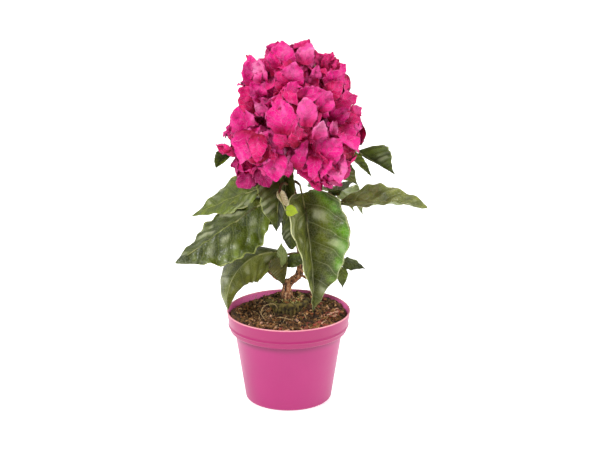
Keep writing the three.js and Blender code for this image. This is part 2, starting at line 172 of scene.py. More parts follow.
# Arrays and shapes

def unit(a):
    # Vectors divided by their lengths
    return a / np.maximum(np.linalg.norm(a, axis=-1, keepdims=True), 1e-12)


def dot(a, b):
    # Sum of the products along the last axis, which is kept
    return (a * b).sum(-1, keepdims=True)


def turned(a, axis, degrees):
    # A vector turned about a unit axis: its part along the axis stays, the rest goes round
    angle = np.radians(np.asarray(degrees, float))[..., None]
    along = axis * dot(a, axis)
    return along + (a - along) * np.cos(angle) + np.cross(axis, a) * np.sin(angle)


def smooth(x, low, high):
    # Smooth step from 0 at low to 1 at high: the share squared, times 3 less twice the share
    share = np.clip((x - low) / (high - low), 0, 1)
    return share * share * (3 - 2 * share)


# Seeded random numbers on a lattice, which the noise blends
lattice = np.random.default_rng(5).random((24, 24, 24))


def noise(points, scale, octaves=1):
    # Value noise from -0.5 to 0.5: random numbers on a lattice, blended by smooth steps.
    # Each octave has half the size and half the height of the last.
    total = 0
    for octave in range(octaves):
        spot = points / scale * 2 ** octave + 7.3 * octave
        low = np.floor(spot).astype(int)
        share = spot - low
        share = share * share * (3 - 2 * share)
        value = 0
        for corner in np.ndindex(2, 2, 2):
            x, y, z = np.moveaxis((low + corner) % len(lattice), -1, 0)
            value = value + lattice[x, y, z] * np.prod(np.where(corner, share, 1 - share), -1)
        total = total + (value - 0.5) / 2 ** octave
    return total


def smoothRoute(route, count):
    # Catmull-Rom curve through the points, at even steps of its length
    route = np.array(route, float)
    padded = np.vstack([2 * route[0] - route[1], route, 2 * route[-1] - route[-2]])
    t = np.linspace(0, 1, 30)[:, None]
    spans = []
    for a, b, c, d in zip(padded, padded[1:], padded[2:], padded[3:]):
        first, last = (c - a) / 2, (d - b) / 2
        spans.append(b + first * t + (3 * (c - b) - 2 * first - last) * t ** 2
                     + (2 * (b - c) + first + last) * t ** 3)
    fine = np.vstack(spans)
    reach = np.concatenate([[0], np.cumsum(np.linalg.norm(np.diff(fine, axis=0), axis=1))])
    steps = np.linspace(0, reach[-1], count)
    return np.stack([np.interp(steps, reach, fine[:, k]) for k in range(3)], 1)


def gridFaces(rows, wrap):
    # Faces of rows of points, row after row, from one pole to the other: rows[i][j] is a point's number.
    # wrap joins the last column to the first.
    columns = np.arange(rows.shape[1] if wrap else rows.shape[1] - 1)
    beside = (columns + 1) % rows.shape[1]
    a, b = rows[:-1][:, columns], rows[:-1][:, beside]
    c, d = rows[1:][:, beside], rows[1:][:, columns]
    return np.stack([a, b, c, d], -1).reshape(-1, 4)


def addPiece(name, shapes, materials):
    # One mesh from many shapes. A shape has points, faces of four corners, of which a doubled one makes a
    # triangle, a slot for each face and, for each map, the place of each corner.
    points, faces, slots, maps = [], [], [], {}
    start = 0
    for shape in shapes:
        points.append(shape["points"])
        faces.append(shape["faces"] + start)
        slots.append(np.broadcast_to(shape.get("slots", 0), len(shape["faces"])))
        for label, place in shape.get("maps", {}).items():
            maps.setdefault(label, []).append(place)
        start += len(shape["points"])
    points, faces, slots = np.vstack(points), np.vstack(faces), np.concatenate(slots)
    doubled = faces == np.roll(faces, -1, 1)
    isQuad = ~doubled.any(1)
    keep = ~doubled
    order = np.concatenate([np.flatnonzero(isQuad), np.flatnonzero(~isQuad)])
    corners = faces[order][keep[order]]
    counts = np.where(isQuad, 4, 3)[order]
    mesh = bpy.data.meshes.new(name)
    mesh.vertices.add(len(points))
    mesh.loops.add(len(corners))
    mesh.polygons.add(len(order))
    mesh.vertices.foreach_set("co", (points * mm).astype(np.float32).ravel())
    mesh.loops.foreach_set("vertex_index", corners.astype(np.int32))
    mesh.polygons.foreach_set("loop_start", (np.cumsum(counts) - counts).astype(np.int32))
    mesh.polygons.foreach_set("material_index", slots[order].astype(np.int32))
    mesh.polygons.foreach_set("use_smooth", np.ones(len(order), bool))
    for label, places in maps.items():
        layer = mesh.uv_layers.new(name=label, do_init=False)
        layer.uv.foreach_set("vector", np.concatenate(places)[order][keep[order]].astype(np.float32).ravel())
    for paint in materials:
        mesh.materials.append(paint.material)
    mesh.update(calc_edges=True)
    piece = bpy.data.objects.new(name, mesh)
    bpy.context.scene.collection.objects.link(piece)
    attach(piece, "root")
    print(name, int((counts - 2).sum()), "triangles")
    return piece


def tubes(routes, radii, sides, slots=0, lobes=None):
    # Round tubes along routes of equal count, with closed ends. A frame is carried along each route, and a
    # point is the middle plus the radius times the cosine and sine of the two directions across.
    routes = np.asarray(routes, float)
    count, steps = routes.shape[:2]
    ahead = unit(np.gradient(routes, axis=1))
    across = unit(np.cross(ahead[:, 0], np.array([0.31, 0.17, 0.93])))
    frames = []
    for i in range(steps):
        across = unit(across - ahead[:, i] * dot(across, ahead[:, i]))
        frames.append(across)
    east = np.stack(frames, 1)[:, :, None]
    north = np.cross(ahead[:, :, None], east)
    angle = np.arange(sides) * 2 * np.pi / sides
    size = np.asarray(radii, float)[:, :, None, None] * np.ones((1, 1, sides, 1))
    if lobes is not None:
        size = size * lobes[..., None]
    ring = routes[:, :, None] + size * (np.cos(angle)[:, None] * east + np.sin(angle)[:, None] * north)
    points = np.concatenate([routes[:, :1], ring.reshape(count, -1, 3), routes[:, -1:]], 1)
    inner = 1 + np.arange(steps * sides).reshape(steps, sides)
    rows = np.vstack([np.zeros((1, sides), int), inner, np.full((1, sides), 1 + steps * sides)])
    faces = gridFaces(rows, True)
    shift = np.arange(count)[:, None, None] * points.shape[1]
    slots = np.repeat(np.broadcast_to(slots, count), len(faces))
    return {"points": points.reshape(-1, 3), "faces": (faces + shift).reshape(-1, 4), "slots": slots}


def lathe(profile, sides):
    # A profile of (radius, height) turned round the Z axis, from a pole on the axis to a pole on the axis
    profile = np.array(profile, float)
    angle = np.arange(sides) * 2 * np.pi / sides
    radius, height = profile[1:-1, 0, None], profile[1:-1, 1, None]
    ring = np.stack([radius * np.cos(angle), radius * np.sin(angle), height + 0 * angle], -1)
    points = np.vstack([[0, 0, profile[0, 1]], ring.reshape(-1, 3), [0, 0, profile[-1, 1]]])
    inner = 1 + np.arange(ring.shape[0] * sides).reshape(-1, sides)
    rows = np.vstack([np.zeros((1, sides), int), inner, np.full((1, sides), len(points) - 1)])
    return {"points": points, "faces": gridFaces(rows, True)}


def filleted(corners, reach, steps):
    # Each corner of a profile becomes a parabola between points at most `reach` from it
    corners = np.array(corners, float)
    made = [corners[:1]]
    t = np.linspace(0, 1, steps + 1)[:, None]
    for before, corner, after in zip(corners, corners[1:], corners[2:]):
        back, on = before - corner, after - corner
        start = corner + back * min(0.4, reach / np.linalg.norm(back))
        end = corner + on * min(0.4, reach / np.linalg.norm(on))
        made.append((1 - t) ** 2 * start + 2 * t * (1 - t) * corner + t ** 2 * end)
    return np.vstack([*made, corners[-1:]])


def arc(x, y, radius, first, last, steps):
    # Points of a circle about (x, y), from the first angle to the last in degrees
    angle = np.radians(np.linspace(first, last, steps + 1))
    return [[x + radius * math.cos(a), y + radius * math.sin(a)] for a in angle]


# Pot: a thin cup with a wider band round its rim, a moulded ridge on it and six drain holes

pot = {
    "height": 88, "wall": 1.5, "floor": 2, "chamfer": 1.2, "baseRadius": 41.1, "baseRounding": 3.4,
    "bodyTopRadius": 51.1, "bandHeight": 20, "bandFootRadius": 55.6, "rimRadius": 58.9, "ridgeDrop": 14,
    "ridge": 1.1, "drains": 6, "drainRadius": 4, "drainCircle": 27, "drainSides": 32, "sides": 176,
    # How far the corners are rounded, and by what share the rim is out of round
    "fillet": 0.5, "outOfRound": 0.0022,
    # The inside's and the lip's tones are painted light, and the tone for just under the band is painted shade
    "tones": {
        "body": (156, 14, 97), "cloud": (166, 22, 105), "band": (146, 8, 80), "inside": (255, 118, 190),
        "soil": (112, 60, 48), "bandShadow": (104, 14, 66), "lip": (236, 158, 166),
    },
}


def potPaint():
    # Satin plastic: one pink, faintly cloudy, a little deeper on the band, with fine moulding grain. The lip
    # has a pale line of painted highlight, painted shade darkens the body just under the band, and soil has
    # smeared the inside of the rim. The inside is painted much paler than the plastic, painted light where it
    # lies in shade. The inside is where the radius less a fifth of the height is small.
    paint, tones = Paint("potPlastic", 0.4), pot["tones"]
    x, y, z = paint.axes(paint.objectPlace())
    radius = (x * x + y * y) ** 0.5
    rimZ, bandZ = pot["height"] * mm, (pot["height"] - pot["bandHeight"]) * mm
    bandFoot = pot["bandFootRadius"] * mm
    inside = (1 - (radius - z * 0.2).step(0.0402, 0.0409)) * z.over(bandZ + 0.001)
    body = paint.patches(tones["body"], tones["cloud"], 14, 2, 0.35, 0.7, 0.5)
    body = paint.mix(z.over(bandZ + 0.0005) * 0.6, body, tones["band"])
    # Painted light: the inside is lifted to a much paler pink than the plastic, where it lies in shade
    body = paint.mix(inside, body, tones["inside"])
    soiled = (1 - z.step(rimZ - 0.011, rimZ - 0.003)) * inside
    speckle = paint.noise(900, 3).step(0.52, 0.62) * inside * 0.25
    body = paint.mix(soiled * 0.45 + speckle, body, tones["soil"])
    # Painted shade: a dark band on the body just under the rim band, where the band's shadow falls
    bandShadow = z.step(bandZ - 0.008, bandZ + 0.0004) * (1 - z.over(bandZ + 0.0006))
    bandShadow = bandShadow * (1 - radius.step(bandFoot - 0.002, bandFoot - 0.0006))
    body = paint.mix(bandShadow * 0.7, body, tones["bandShadow"])
    # Painted highlight: a pale line along the top of the lip, varied by a noise
    lip = z.step(rimZ - 0.0014, rimZ - 0.0004)
    body = paint.mix(lip * (0.55 + paint.noise(300, 2) * 0.5), body, tones["lip"])
    paint.colour(body)
    paint.link("Roughness", 0.30 + paint.noise(60, 3) * 0.16)
    paint.bump(paint.noise(1500, 2), 0.00006, 0.35)
    return paint


def buildPot():
    # One profile runs up the outside, over the round lip and down the inside. The rim is drawn in by three
    # lobes that grow with the square of the height, and the drain holes are cut out of the floor.
    height, wall, floor, chamfer = pot["height"], pot["wall"], pot["floor"], pot["chamfer"]
    base, rounding = pot["baseRadius"], pot["baseRounding"]
    bandFoot, ridgeZ = height - pot["bandHeight"], height - pot["ridgeDrop"]
    bodyTop, foot, rim, ridge = pot["bodyTopRadius"], pot["bandFootRadius"], pot["rimRadius"], pot["ridge"]

    def bandAt(z):
        return foot + (rim - foot) * (z - bandFoot) / pot["bandHeight"]

    outside = [
        [0, 0], *arc(base - rounding, rounding, rounding, -90, 0, 5),
        [bodyTop, bandFoot - chamfer], [bodyTop + chamfer, bandFoot], [foot - chamfer, bandFoot],
        [foot, bandFoot + chamfer], [bandAt(ridgeZ - ridge), ridgeZ - ridge],
        [bandAt(ridgeZ) + ridge, ridgeZ], [bandAt(ridgeZ + 2 * ridge), ridgeZ + 2 * ridge],
    ]
    lip = arc(rim - wall / 2, height - wall / 2, wall / 2, 0, 180, 5)
    inside = [
        [foot - wall, bandFoot + wall + chamfer], [foot - wall - chamfer, bandFoot + wall],
        [bodyTop - wall, bandFoot + wall], [base - wall, floor + rounding],
        [base - wall - rounding / 2, floor], [0, floor],
    ]
    shape = lathe(filleted([*outside, *lip, *inside], pot["fillet"], 3), pot["sides"])
    x, y, z = shape["points"].T
    lobed = 1 - np.cos(3 * np.arctan2(y, x) + 0.6)
    shape["points"][:, :2] *= (1 - pot["outOfRound"] * (z / height) ** 2 * lobed)[:, None]
    piece = addPiece("potShell", [shape], [potPaint()])
    turns = 2 * np.pi * np.arange(pot["drains"]) / pot["drains"]
    middles = np.stack([np.cos(turns), np.sin(turns)], 1) * pot["drainCircle"]
    paths = [[[x, y, z] for z in (-4, 4, 8)] for x, y in middles]
    drills = tubes(paths, np.full((len(paths), 3), pot["drainRadius"]), pot["drainSides"])
    cutter = addPiece("drainCutter", [drills], [])
    cut = piece.modifiers.new("drains", "BOOLEAN")
    cut.object = cutter
    cut.operation = "DIFFERENCE"
    cut.solver = "EXACT"
    bpy.context.view_layer.update()
    holed = bpy.data.meshes.new_from_object(piece.evaluated_get(bpy.context.evaluated_depsgraph_get()))
    piece.modifiers.clear()
    piece.data = holed
    bpy.data.objects.remove(cutter)
    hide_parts("pot")


buildPot()


# Compost, and the ribbed plug that stands in it

compost = {
    "level": 82, "slope": 0.03, "lump": 1.1, "waves": [0.31, 0.27, 0.19, 0.43], "edge": 54.8, "gap": 0.3,
    "sides": 200, "rings": 58,
    # Heights of the clods, the crumbs and the grit, of the heaps against the rim and of the bank by the plug
    "clods": 3.2, "crumbs": 2.4, "grit": 1.1, "frontHeap": 5.5, "leftHeap": 4.5, "bank": 9,
    # A hollow in front of the plug: its place, its depth and how far it spreads
    "hollow": {"x": -6, "y": -19, "depth": 3.6, "spread": 26},
    "tones": [(32, 19, 9), (102, 68, 36), (182, 138, 82)],
}
plug = {
    "x": -1, "y": 11, "radius": 21, "foot": 74, "top": 96, "ribs": 36, "ribDepth": 1.5, "sides": 224,
    # The flat top's share of the radius, and the shares of the height that the side and the shoulder take
    "flat": 0.8, "side": 0.84, "shoulder": 0.16, "sideRings": 40, "shoulderRings": 10, "topRings": 14,
    "tones": [(52, 42, 18), (108, 94, 42), (158, 142, 84)],
}


def soilPaint(name, tones):
    # Peat: two browns by a noise, dark in its pits, with flecks of a paler one
    dark, middle, light = tones
    paint = Paint(name, 0.95)
    coarse = paint.noise(260, 5)
    body = paint.mix(coarse.step(0.36, 0.62), dark, middle)
    flecks = 1 - paint.cells(1100, feature="F1").step(0.1, 0.32)
    body = paint.mix(flecks * paint.noise(420, 2).step(0.48, 0.6), body, light)
    if name == "plugPeat":
        # Painted shade between the ribs: the cosine of the turn about the plug's axis, low on its sides
        x, y, z = paint.axes(paint.objectPlace())
        turn = (y - plug["y"] * mm).math("ARCTAN2", y - plug["y"] * mm, x - plug["x"] * mm)
        groove = 1 - turn.math("COSINE", turn * plug["ribs"]).step(-0.7, 0.5)
        below = 1 - z.step(plug["top"] * mm - 0.0045, plug["top"] * mm - 0.0005)
        body = paint.mix(groove * below * 0.6, body, (34, 26, 10))
    paint.colour(body)
    paint.bump(coarse * 0.6 + paint.noise(1300, 4) * 0.4, 0.0012, 0.9)
    return paint


def heightAt(x, y):
    # Height of the compost: the slope and the lumps of the part's source, with clods and crumbs added. It
    # lies higher against the front, the left and the right of the rim and lower at the back on the left, and
    # it is banked against the two sides of the plug, less in front of it.
    along, across, slant, counter = compost["waves"]
    lump = np.sin(x * along) * np.cos(y * across) + np.sin((x + y) * slant) * np.cos((x - y) * counter)
    spot = np.stack([x, y, 0 * x], -1)
    clods = compost["clods"] * noise(spot, 11, 2) + compost["crumbs"] * np.abs(noise(spot + 40, 4.5, 2))
    clods = clods + compost["grit"] * noise(spot, 1.7, 1)
    reach = np.hypot(x, y)
    heap = compost["frontHeap"] * smooth(-0.55 * x - y, 24, 52) * smooth(reach, 36, 52)
    left = smooth(-x - 0.1 * y, 34, 50) * smooth(reach, 34, 50) * (1 - smooth(y, 8, 24))
    heap = np.maximum(heap + compost["leftHeap"] * left, 0) * 0.75
    back = 2.2 * smooth(x + 0.6 * y, 10, 50) - 1.2 * smooth(-x + 0.8 * y, 30, 62)
    fromPlug = np.hypot(x - plug["x"], y - plug["y"])
    sides = 0.35 + 0.65 * smooth(np.abs(x - plug["x"]), 8, 21)
    bank = compost["bank"] * sides * np.exp(-np.maximum(fromPlug - 20, 0) ** 2 / 90)
    pit = compost["hollow"]
    hollow = pit["depth"] * np.exp(-((x - pit["x"]) ** 2 + (y - pit["y"]) ** 2) / pit["spread"])
    edge = smooth(reach, 47, 52)
    top = compost["level"] + compost["slope"] * y + compost["lump"] * lump + clods * (1 - 0.5 * edge)
    return top + heap + back + bank * (1 - edge) - hollow


def buildCompost():
    # The inside of the pot less a clearance, under rings whose height is heightAt
    wall, rounding = pot["wall"] + compost["gap"], pot["baseRounding"]
    shelf, floor = pot["height"] - pot["bandHeight"] + wall, pot["floor"] + compost["gap"]
    low = [
        [0, floor], [pot["baseRadius"] - wall - rounding, floor],
        [pot["baseRadius"] - wall, floor + rounding], [pot["bodyTopRadius"] - wall, shelf],
        [compost["edge"] - 1, shelf],
    ]
    top = [[r, compost["level"]] for r in np.linspace(compost["edge"], 0, compost["rings"])]
    shape = lathe([*low, *top], compost["sides"])
    x, y, z = shape["points"].T
    shape["points"][:, 2] = np.where(z > shelf + 1, heightAt(x, y), z)
    piece = addPiece("compostFill", [shape], [soilPaint("compostPeat", compost["tones"])])
    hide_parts("compost")


def buildPlug():
    # The ribs are cosine flutes with narrow crests, roughened by noise; the shoulder is an arc to a flat top
    foot, top, wide = plug["foot"], plug["top"], plug["radius"]
    tall = top - foot
    shoulder = wide * (1 - plug["flat"])
    side = np.linspace(0, 1, plug["sideRings"])
    bend = np.radians(np.linspace(0, 90, plug["shoulderRings"]))[1:]
    profile = [[0, foot]] + [[wide, foot + plug["side"] * tall * s] for s in side]
    for a in bend:
        rise = plug["side"] + plug["shoulder"] * math.sin(a)
        profile.append([wide - shoulder * (1 - math.cos(a)), foot + tall * rise])
    profile += [[r, top] for r in np.linspace(wide * plug["flat"], 0, plug["topRings"])[1:]]
    shape = lathe(profile, plug["sides"])
    points = shape["points"]
    turn = np.arctan2(points[:, 1], points[:, 0])
    radius = np.hypot(points[:, 0], points[:, 1])
    onSide = smooth(radius, 15, 20.5)
    flute = plug["ribDepth"] * (0.5 - 0.5 * np.cos(plug["ribs"] * turn)) ** 0.6
    rough = 2.2 * noise(points, 3.2, 3) + 1.6 * noise(points + 9, 9, 2)
    scale = (radius - onSide * (flute - 0.6 - 0.7 * rough)) / np.maximum(radius, 1e-6)
    points[:, :2] *= scale[:, None]
    points[:, 2] += (1 - onSide) * (points[:, 2] > 90) * (rough - 0.8)
    points[:, :2] += [plug["x"], plug["y"]]
    piece = addPiece("ribbedPlug", [shape], [soilPaint("plugPeat", plug["tones"])])
    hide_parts("root_plug")


buildCompost()
buildPlug()


# Litter on the compost: crumbs, bark chips, fibres and moss. Lengths run from least by up to spread.

litter = {
    "seed": 31,
    "crumbs": {
        "count": 2400, "edge": 51, "least": 0.7, "spread": 1.9, "shares": [0.5, 0.25, 0.17, 0.08],
        "tones": [(60, 36, 14), (134, 86, 42), (102, 76, 32), (216, 168, 116)],
    },
    "chips": {
        "count": 520, "tried": 6, "edge": 50.5, "least": 1.8, "spread": 5, "clear": 3,
        "tones": [(104, 66, 36), (162, 72, 54), (160, 112, 64), (216, 162, 134)],
    },
    "fibres": {
        "count": 190, "steps": 12, "edge": 47, "limit": 50.5, "least": 7, "spread": 16, "curl": 2.2,
        "radius": 0.14, "thicker": 0.22,
        # Name, colour and roughness
        "tones": [("Pale", (200, 168, 120), 0.8), ("Brown", (136, 94, 52), 0.85)],
        # Long fibres that stand in a loop
        "loops": [
            [(-23, -15, 84), (-26, -14, 90), (-22, -12, 96), (-14, -10, 97), (-10, -11, 93)],
            [(-33, 30, 82), (-32.5, 30, 86), (-31, 32, 91)],
            [(8, -20, 83), (1, -25, 87), (-9, -22, 88), (-12, -17, 84)],
        ],
        "loopRadius": 0.42, "loopSteps": 24,
    },
    "moss": {
        "count": 900, "edge": 20.5, "least": 1.2, "spread": 1.5, "radii": [0.45, 0.4, 0.12],
        "tones": {"Green": (166, 160, 80), "Pale": (222, 212, 150)},
    },
}


def plainPaint(name, colour, roughness, depth=0.0004):
    # One base colour, darker in patches by a coarse noise, with a rough grain
    paint = Paint(name, roughness)
    dark = tuple(0.62 * c for c in colour)
    paint.colour(paint.mix(paint.noise(330, 4).step(0.38, 0.62) * 0.5 + 0.5, dark, colour))
    paint.bump(paint.noise(1500, 3), depth, 0.8)
    return paint


def surfaceAt(x, y):
    # Top of the compost or of the plug, whichever is higher
    reach = np.hypot(x - plug["x"], y - plug["y"])
    top = plug["top"] - 14 * smooth(reach, 15.5, 20.5)
    return np.where(reach < 20.4, np.maximum(top, heightAt(x, y)), heightAt(x, y))


def scatterSpots(rng, count, edge):
    # Random spots on the compost, even in area
    radius, turn = edge * np.sqrt(rng.random(count)), 2 * np.pi * rng.random(count)
    x, y = radius * np.cos(turn), radius * np.sin(turn)
    return np.stack([x, y, surfaceAt(x, y)], -1)


def blocks(rng, spots, lengths, widths, heights, tilt):
    # Splinters: a box of eight corners, each moved at random, narrower at one end, turned and tilted
    count = len(spots)
    corners = np.array([[x, y, z] for z in (-1, 1) for y in (-1, 1) for x in (-1, 1)], float) / 2
    shape = corners * (1 + 0.5 * (rng.random((count, 8, 3)) - 0.5))
    taper = 1 - 0.5 * rng.random((count, 1)) * (corners[:, 0] > 0)
    shape[..., 1:] *= taper[..., None]
    shape = shape * np.stack([lengths, widths, heights], -1)[:, None]
    ahead = unit(rng.normal(size=(count, 3)) * [1, 1, tilt])
    side = unit(np.cross(up, ahead) + tilt * 0.6 * rng.normal(size=(count, 3)))
    side = unit(side - ahead * dot(side, ahead))
    axes = np.stack([ahead, side, np.cross(ahead, side)], 1)
    points = spots[:, None] + shape @ axes
    box = np.array([[0, 2, 3, 1], [4, 5, 7, 6], [0, 1, 5, 4], [2, 6, 7, 3], [0, 4, 6, 2], [1, 3, 7, 5]])
    faces = (box + 8 * np.arange(count)[:, None, None]).reshape(-1, 4)
    return {"points": points.reshape(-1, 3), "faces": faces, "sides": len(box)}


def buildCrumbs(rng):
    # Crumbs are short blocks in four browns, most of them small: the size grows with the square of the draw
    own = litter["crumbs"]
    spots = scatterSpots(rng, own["count"], own["edge"])
    size = own["least"] + own["spread"] * rng.random(len(spots)) ** 2
    crumbs = blocks(rng, spots + up * 0.2 * size[:, None], size * 1.3, size, size * 0.8, 0.8)
    tone = rng.choice(len(own["tones"]), len(spots), p=own["shares"])
    crumbs["slots"] = np.repeat(tone, crumbs["sides"])
    paints = [plainPaint(f"crumb{k}", tone, 0.95) for k, tone in enumerate(own["tones"])]
    piece = addPiece("crumbs", [crumbs], paints)


def buildChips(rng):
    # Bark chips lie thickest along the front and the right of the rim, and more of them are rusty on the right
    own = litter["chips"]
    spots = scatterSpots(rng, own["tried"] * own["count"], own["edge"])
    x, y, _ = spots.T
    ring = smooth(np.hypot(x, y), 26, 44)
    wanted = 0.1 + 0.9 * ring * smooth(x * 0.35 - y, -6, 26)
    offPlug = np.hypot(x - plug["x"], y - plug["y"]) > plug["radius"] + own["clear"]
    spots = spots[offPlug & (rng.random(len(spots)) < wanted)][:own["count"]]
    count = len(spots)
    rightward = smooth(spots[:, 0], 2, 26)
    length = own["least"] + own["spread"] * rng.random(count) ** 2
    width = length * (0.3 + 0.35 * rng.random(count))
    thick = 0.7 + 1.0 * rng.random(count)
    chips = blocks(rng, spots + up * 0.7, length, width, thick, 0.35)
    draw = rng.random(count)
    tone = np.where(draw < 0.34 - 0.12 * rightward, 0, np.where(draw < 0.62, 1, np.where(draw < 0.9, 2, 3)))
    tone = np.where((tone == 1) & (rng.random(count) > rightward + 0.25), 2, tone)
    chips["slots"] = np.repeat(tone, chips["sides"])
    paints = [plainPaint(f"chip{k}", tone, 0.85) for k, tone in enumerate(own["tones"])]
    piece = addPiece("barkChips", [chips], paints)


def buildFibres(rng):
    # Fibres are arcs that lie on the compost, with some that loop above it
    own = litter["fibres"]
    count, steps = own["count"], own["steps"]
    spots = scatterSpots(rng, count, own["edge"])
    heading, curl = 2 * np.pi * rng.random(count), rng.normal(size=count) * own["curl"]
    length = own["least"] + own["spread"] * rng.random(count) ** 1.5
    t = np.linspace(0, 1, steps)
    way = heading[:, None] + curl[:, None] * t
    x = spots[:, :1] + np.cumsum(np.cos(way), 1) * length[:, None] / steps
    y = spots[:, 1:2] + np.cumsum(np.sin(way), 1) * length[:, None] / steps
    inside = np.hypot(x, y).max(1) < own["limit"]
    lift = np.where(rng.random(count) < 0.15, 5, 0.9) * rng.random(count)
    z = surfaceAt(x, y) + 0.5 + lift[:, None] * np.sin(np.pi * t)
    paths = np.stack([x, y, z], -1)[inside]
    thick = (own["radius"] + own["thicker"] * rng.random(count) ** 2)[inside, None] * (1 - 0.6 * t)
    fibres = tubes(paths, thick, 5, slots=rng.choice(2, inside.sum(), p=[0.6, 0.4]))
    paths = np.array([smoothRoute(route, own["loopSteps"]) for route in own["loops"]])
    thin = own["loopRadius"] * (1 - 0.5 * np.linspace(0, 1, own["loopSteps"]))
    loops = tubes(paths, thin + np.zeros((len(paths), 1)), 6)
    paints = [plainPaint("fibre" + name, tone, rough) for name, tone, rough in own["tones"]]
    piece = addPiece("fibres", [fibres, loops], paints)


def buildMoss(rng):
    # Moss: short pointed tufts on the plug's top and shoulder, in patches
    own = litter["moss"]
    count = own["count"]
    turn, reach = 2 * np.pi * rng.random(count), own["edge"] * np.sqrt(rng.random(count))
    x, y = plug["x"] + reach * np.cos(turn), plug["y"] + reach * np.sin(turn)
    wanted = noise(np.stack([x, y, 0 * x], -1), 9, 2) + 0.12 * np.cos(turn - 0.4) > -0.02
    foot = np.stack([x, y, surfaceAt(x, y) - 0.6], -1)[wanted]
    lean = unit(rng.normal(size=(len(foot), 3)) * [0.6, 0.6, 0.2] + up)
    tall = own["least"] + own["spread"] * rng.random((len(foot), 1))
    paths = np.stack([foot, foot + lean * tall * 0.6, foot + lean * tall], 1)
    radii = np.array([own["radii"]]) * np.ones((len(foot), 1))
    moss = tubes(paths, radii, 4, slots=rng.choice(2, len(foot), p=[0.6, 0.4]))
    paints = [plainPaint("moss" + name, tone, 0.9) for name, tone in own["tones"].items()]
    piece = addPiece("moss", [moss], paints)


litterDraws = np.random.default_rng(litter["seed"])
for build in (buildCrumbs, buildChips, buildFibres, buildMoss):
    build(litterDraws)
print("pot and compost done")


# Woody limbs, with the routes of the part's source

limbs = {
    "trunk": {
        "route": [(-1.4, 10, 95.4), (-1.6, 10, 102), (-1, 10, 111), (0.2, 10, 112.6)],
        "foot": 5, "tip": 3.6, "flare": 0.35,
    },
    "leader": {
        "route": [(-2.4, 10, 107.5), (-1, 10, 110), (4, 10, 114), (9.6, 10, 119), (11.6, 10, 131),
                  (10.6, 10, 152), (9, 10, 176), (6, 10, 197), (2.8, 10, 215), (3, 8.5, 240),
                  (4.5, 6.5, 268), (5, 5, 298)],
        "foot": 3.7, "tip": 1.2, "flare": 0,
    },
    "bough_left": {
        "route": [(1.5, 10.4, 107), (-1, 10, 110), (-6.5, 8.6, 114.6), (-12, 6, 119), (-18, 4, 124.5)],
        "foot": 3.3, "tip": 1.9, "flare": 0,
    },
    "spur": {
        "route": [(9.4, 10, 120.6), (14.5, 7.5, 118.4), (17, 5, 117.6), (19.5, 3, 119.6)],
        "foot": 1.3, "tip": 0.8, "flare": 0,
    },
}
# The grid's step along a limb, its sides round a thick and a thin one, the rings where leaves once stood,
# and the heights of the bark's flakes and fissures
bark = {
    "step": 0.9, "thickSides": 28, "thinSides": 14, "ringGap": 13, "ringSwell": 0.1, "flakes": 0.34,
    "fissures": 0.2,
    "tones": {
        "fissure": (62, 36, 20), "flake": (160, 106, 68), "rust": (186, 112, 78), "dust": (216, 176, 136),
        "cut": (150, 118, 84), "heart": (112, 80, 52),
    },
}


def barkPaint():
    # Bark: brown in long flakes and dark in the fissures, with patches of rust and small ones of pale dust
    paint, tones = Paint("bark", 0.85), bark["tones"]
    long = paint.place((1, 1, 0.35))
    flakes = paint.noise(420, 5, long)
    body = paint.mix(flakes.step(0.4, 0.58), tones["fissure"], tones["flake"])
    body = paint.patches(body, tones["rust"], 110, 3, 0.52, 0.68, 0.5)
    body = paint.patches(body, tones["dust"], 600, 3, 0.54, 0.66, 0.7)
    paint.colour(body)
    paint.bump(flakes * 0.7 + paint.noise(1500, 3, long) * 0.3, 0.0009, 0.9)
    return paint


def woodPaint():
    # Cut end: pale wood with browner patches
    paint, tones = Paint("cutWood", 0.8), bark["tones"]
    paint.colour(paint.patches(tones["cut"], tones["heart"], 600, 3, 0.4, 0.62))
    return paint


def buildLimbs():
    # A limb is a tube whose radius falls evenly from foot to tip, with five lobes at a flared foot, a
    # swelling at each ring, and the bark's relief by noise stretched along it
    paints = [barkPaint(), woodPaint()]
    for name, limb in limbs.items():
        length = np.linalg.norm(np.diff(np.array(limb["route"], float), axis=0), axis=1).sum()
        steps = max(20, int(length / bark["step"]))
        sides = bark["thickSides"] if limb["foot"] > 2 else bark["thinSides"]
        path = smoothRoute(limb["route"], steps)
        share = np.linspace(0, 1, steps)
        angle = np.arange(sides) * 2 * np.pi / sides
        lobes = 1 + limb["flare"] * (1 - share[:, None]) ** 3 * (1.2 + np.cos(5 * angle))
        radius = limb["foot"] + (limb["tip"] - limb["foot"]) * share
        fromRing = (share * length / bark["ringGap"]) % 1 - 0.5
        swell = bark["ringSwell"] * np.exp(-fromRing ** 2 / 0.012) * (share > 0.05)
        made = tubes([path], [radius * (1 + swell)], sides, lobes=lobes[None])
        points = made["points"]
        middle = np.vstack([path[:1], np.repeat(path, sides, axis=0), path[-1:]])
        out = unit(points - middle)
        long = points * [1, 1, 0.4]
        size = np.concatenate([[0], np.repeat(radius, sides), [0]])[:, None]
        relief = bark["flakes"] * noise(long, 2.4, 2) + bark["fissures"] * np.abs(noise(long + 5, 1.1, 1))
        made["points"] = points + out * relief[:, None] * np.minimum(size, 2.6) * 0.9
        made["slots"] = np.zeros(len(made["faces"]), int)
        if name == "bough_left":
            made["slots"][-sides:] = 1
        piece = addPiece(name + "Bark", [made], paints)
        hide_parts(name)


buildLimbs()
print("limbs done")


# Blades: leaves and bracts

def outline(u, rise, fall, drip):
    # Half-width along a blade as a share of the widest: u to the power rise times 1-u to the power fall,
    # drawn in towards the tip by drip
    peak = rise / (rise + fall)
    full = peak ** rise * (1 - peak) ** fall
    return u ** rise * (1 - u) ** fall / full * (1 - drip * smooth(u, 0.66, 0.93))


def column(blades, key):
    # One value of each blade as an array, 0 where a blade has none
    return np.array([blade.get(key, 0.0) for blade in blades], float)


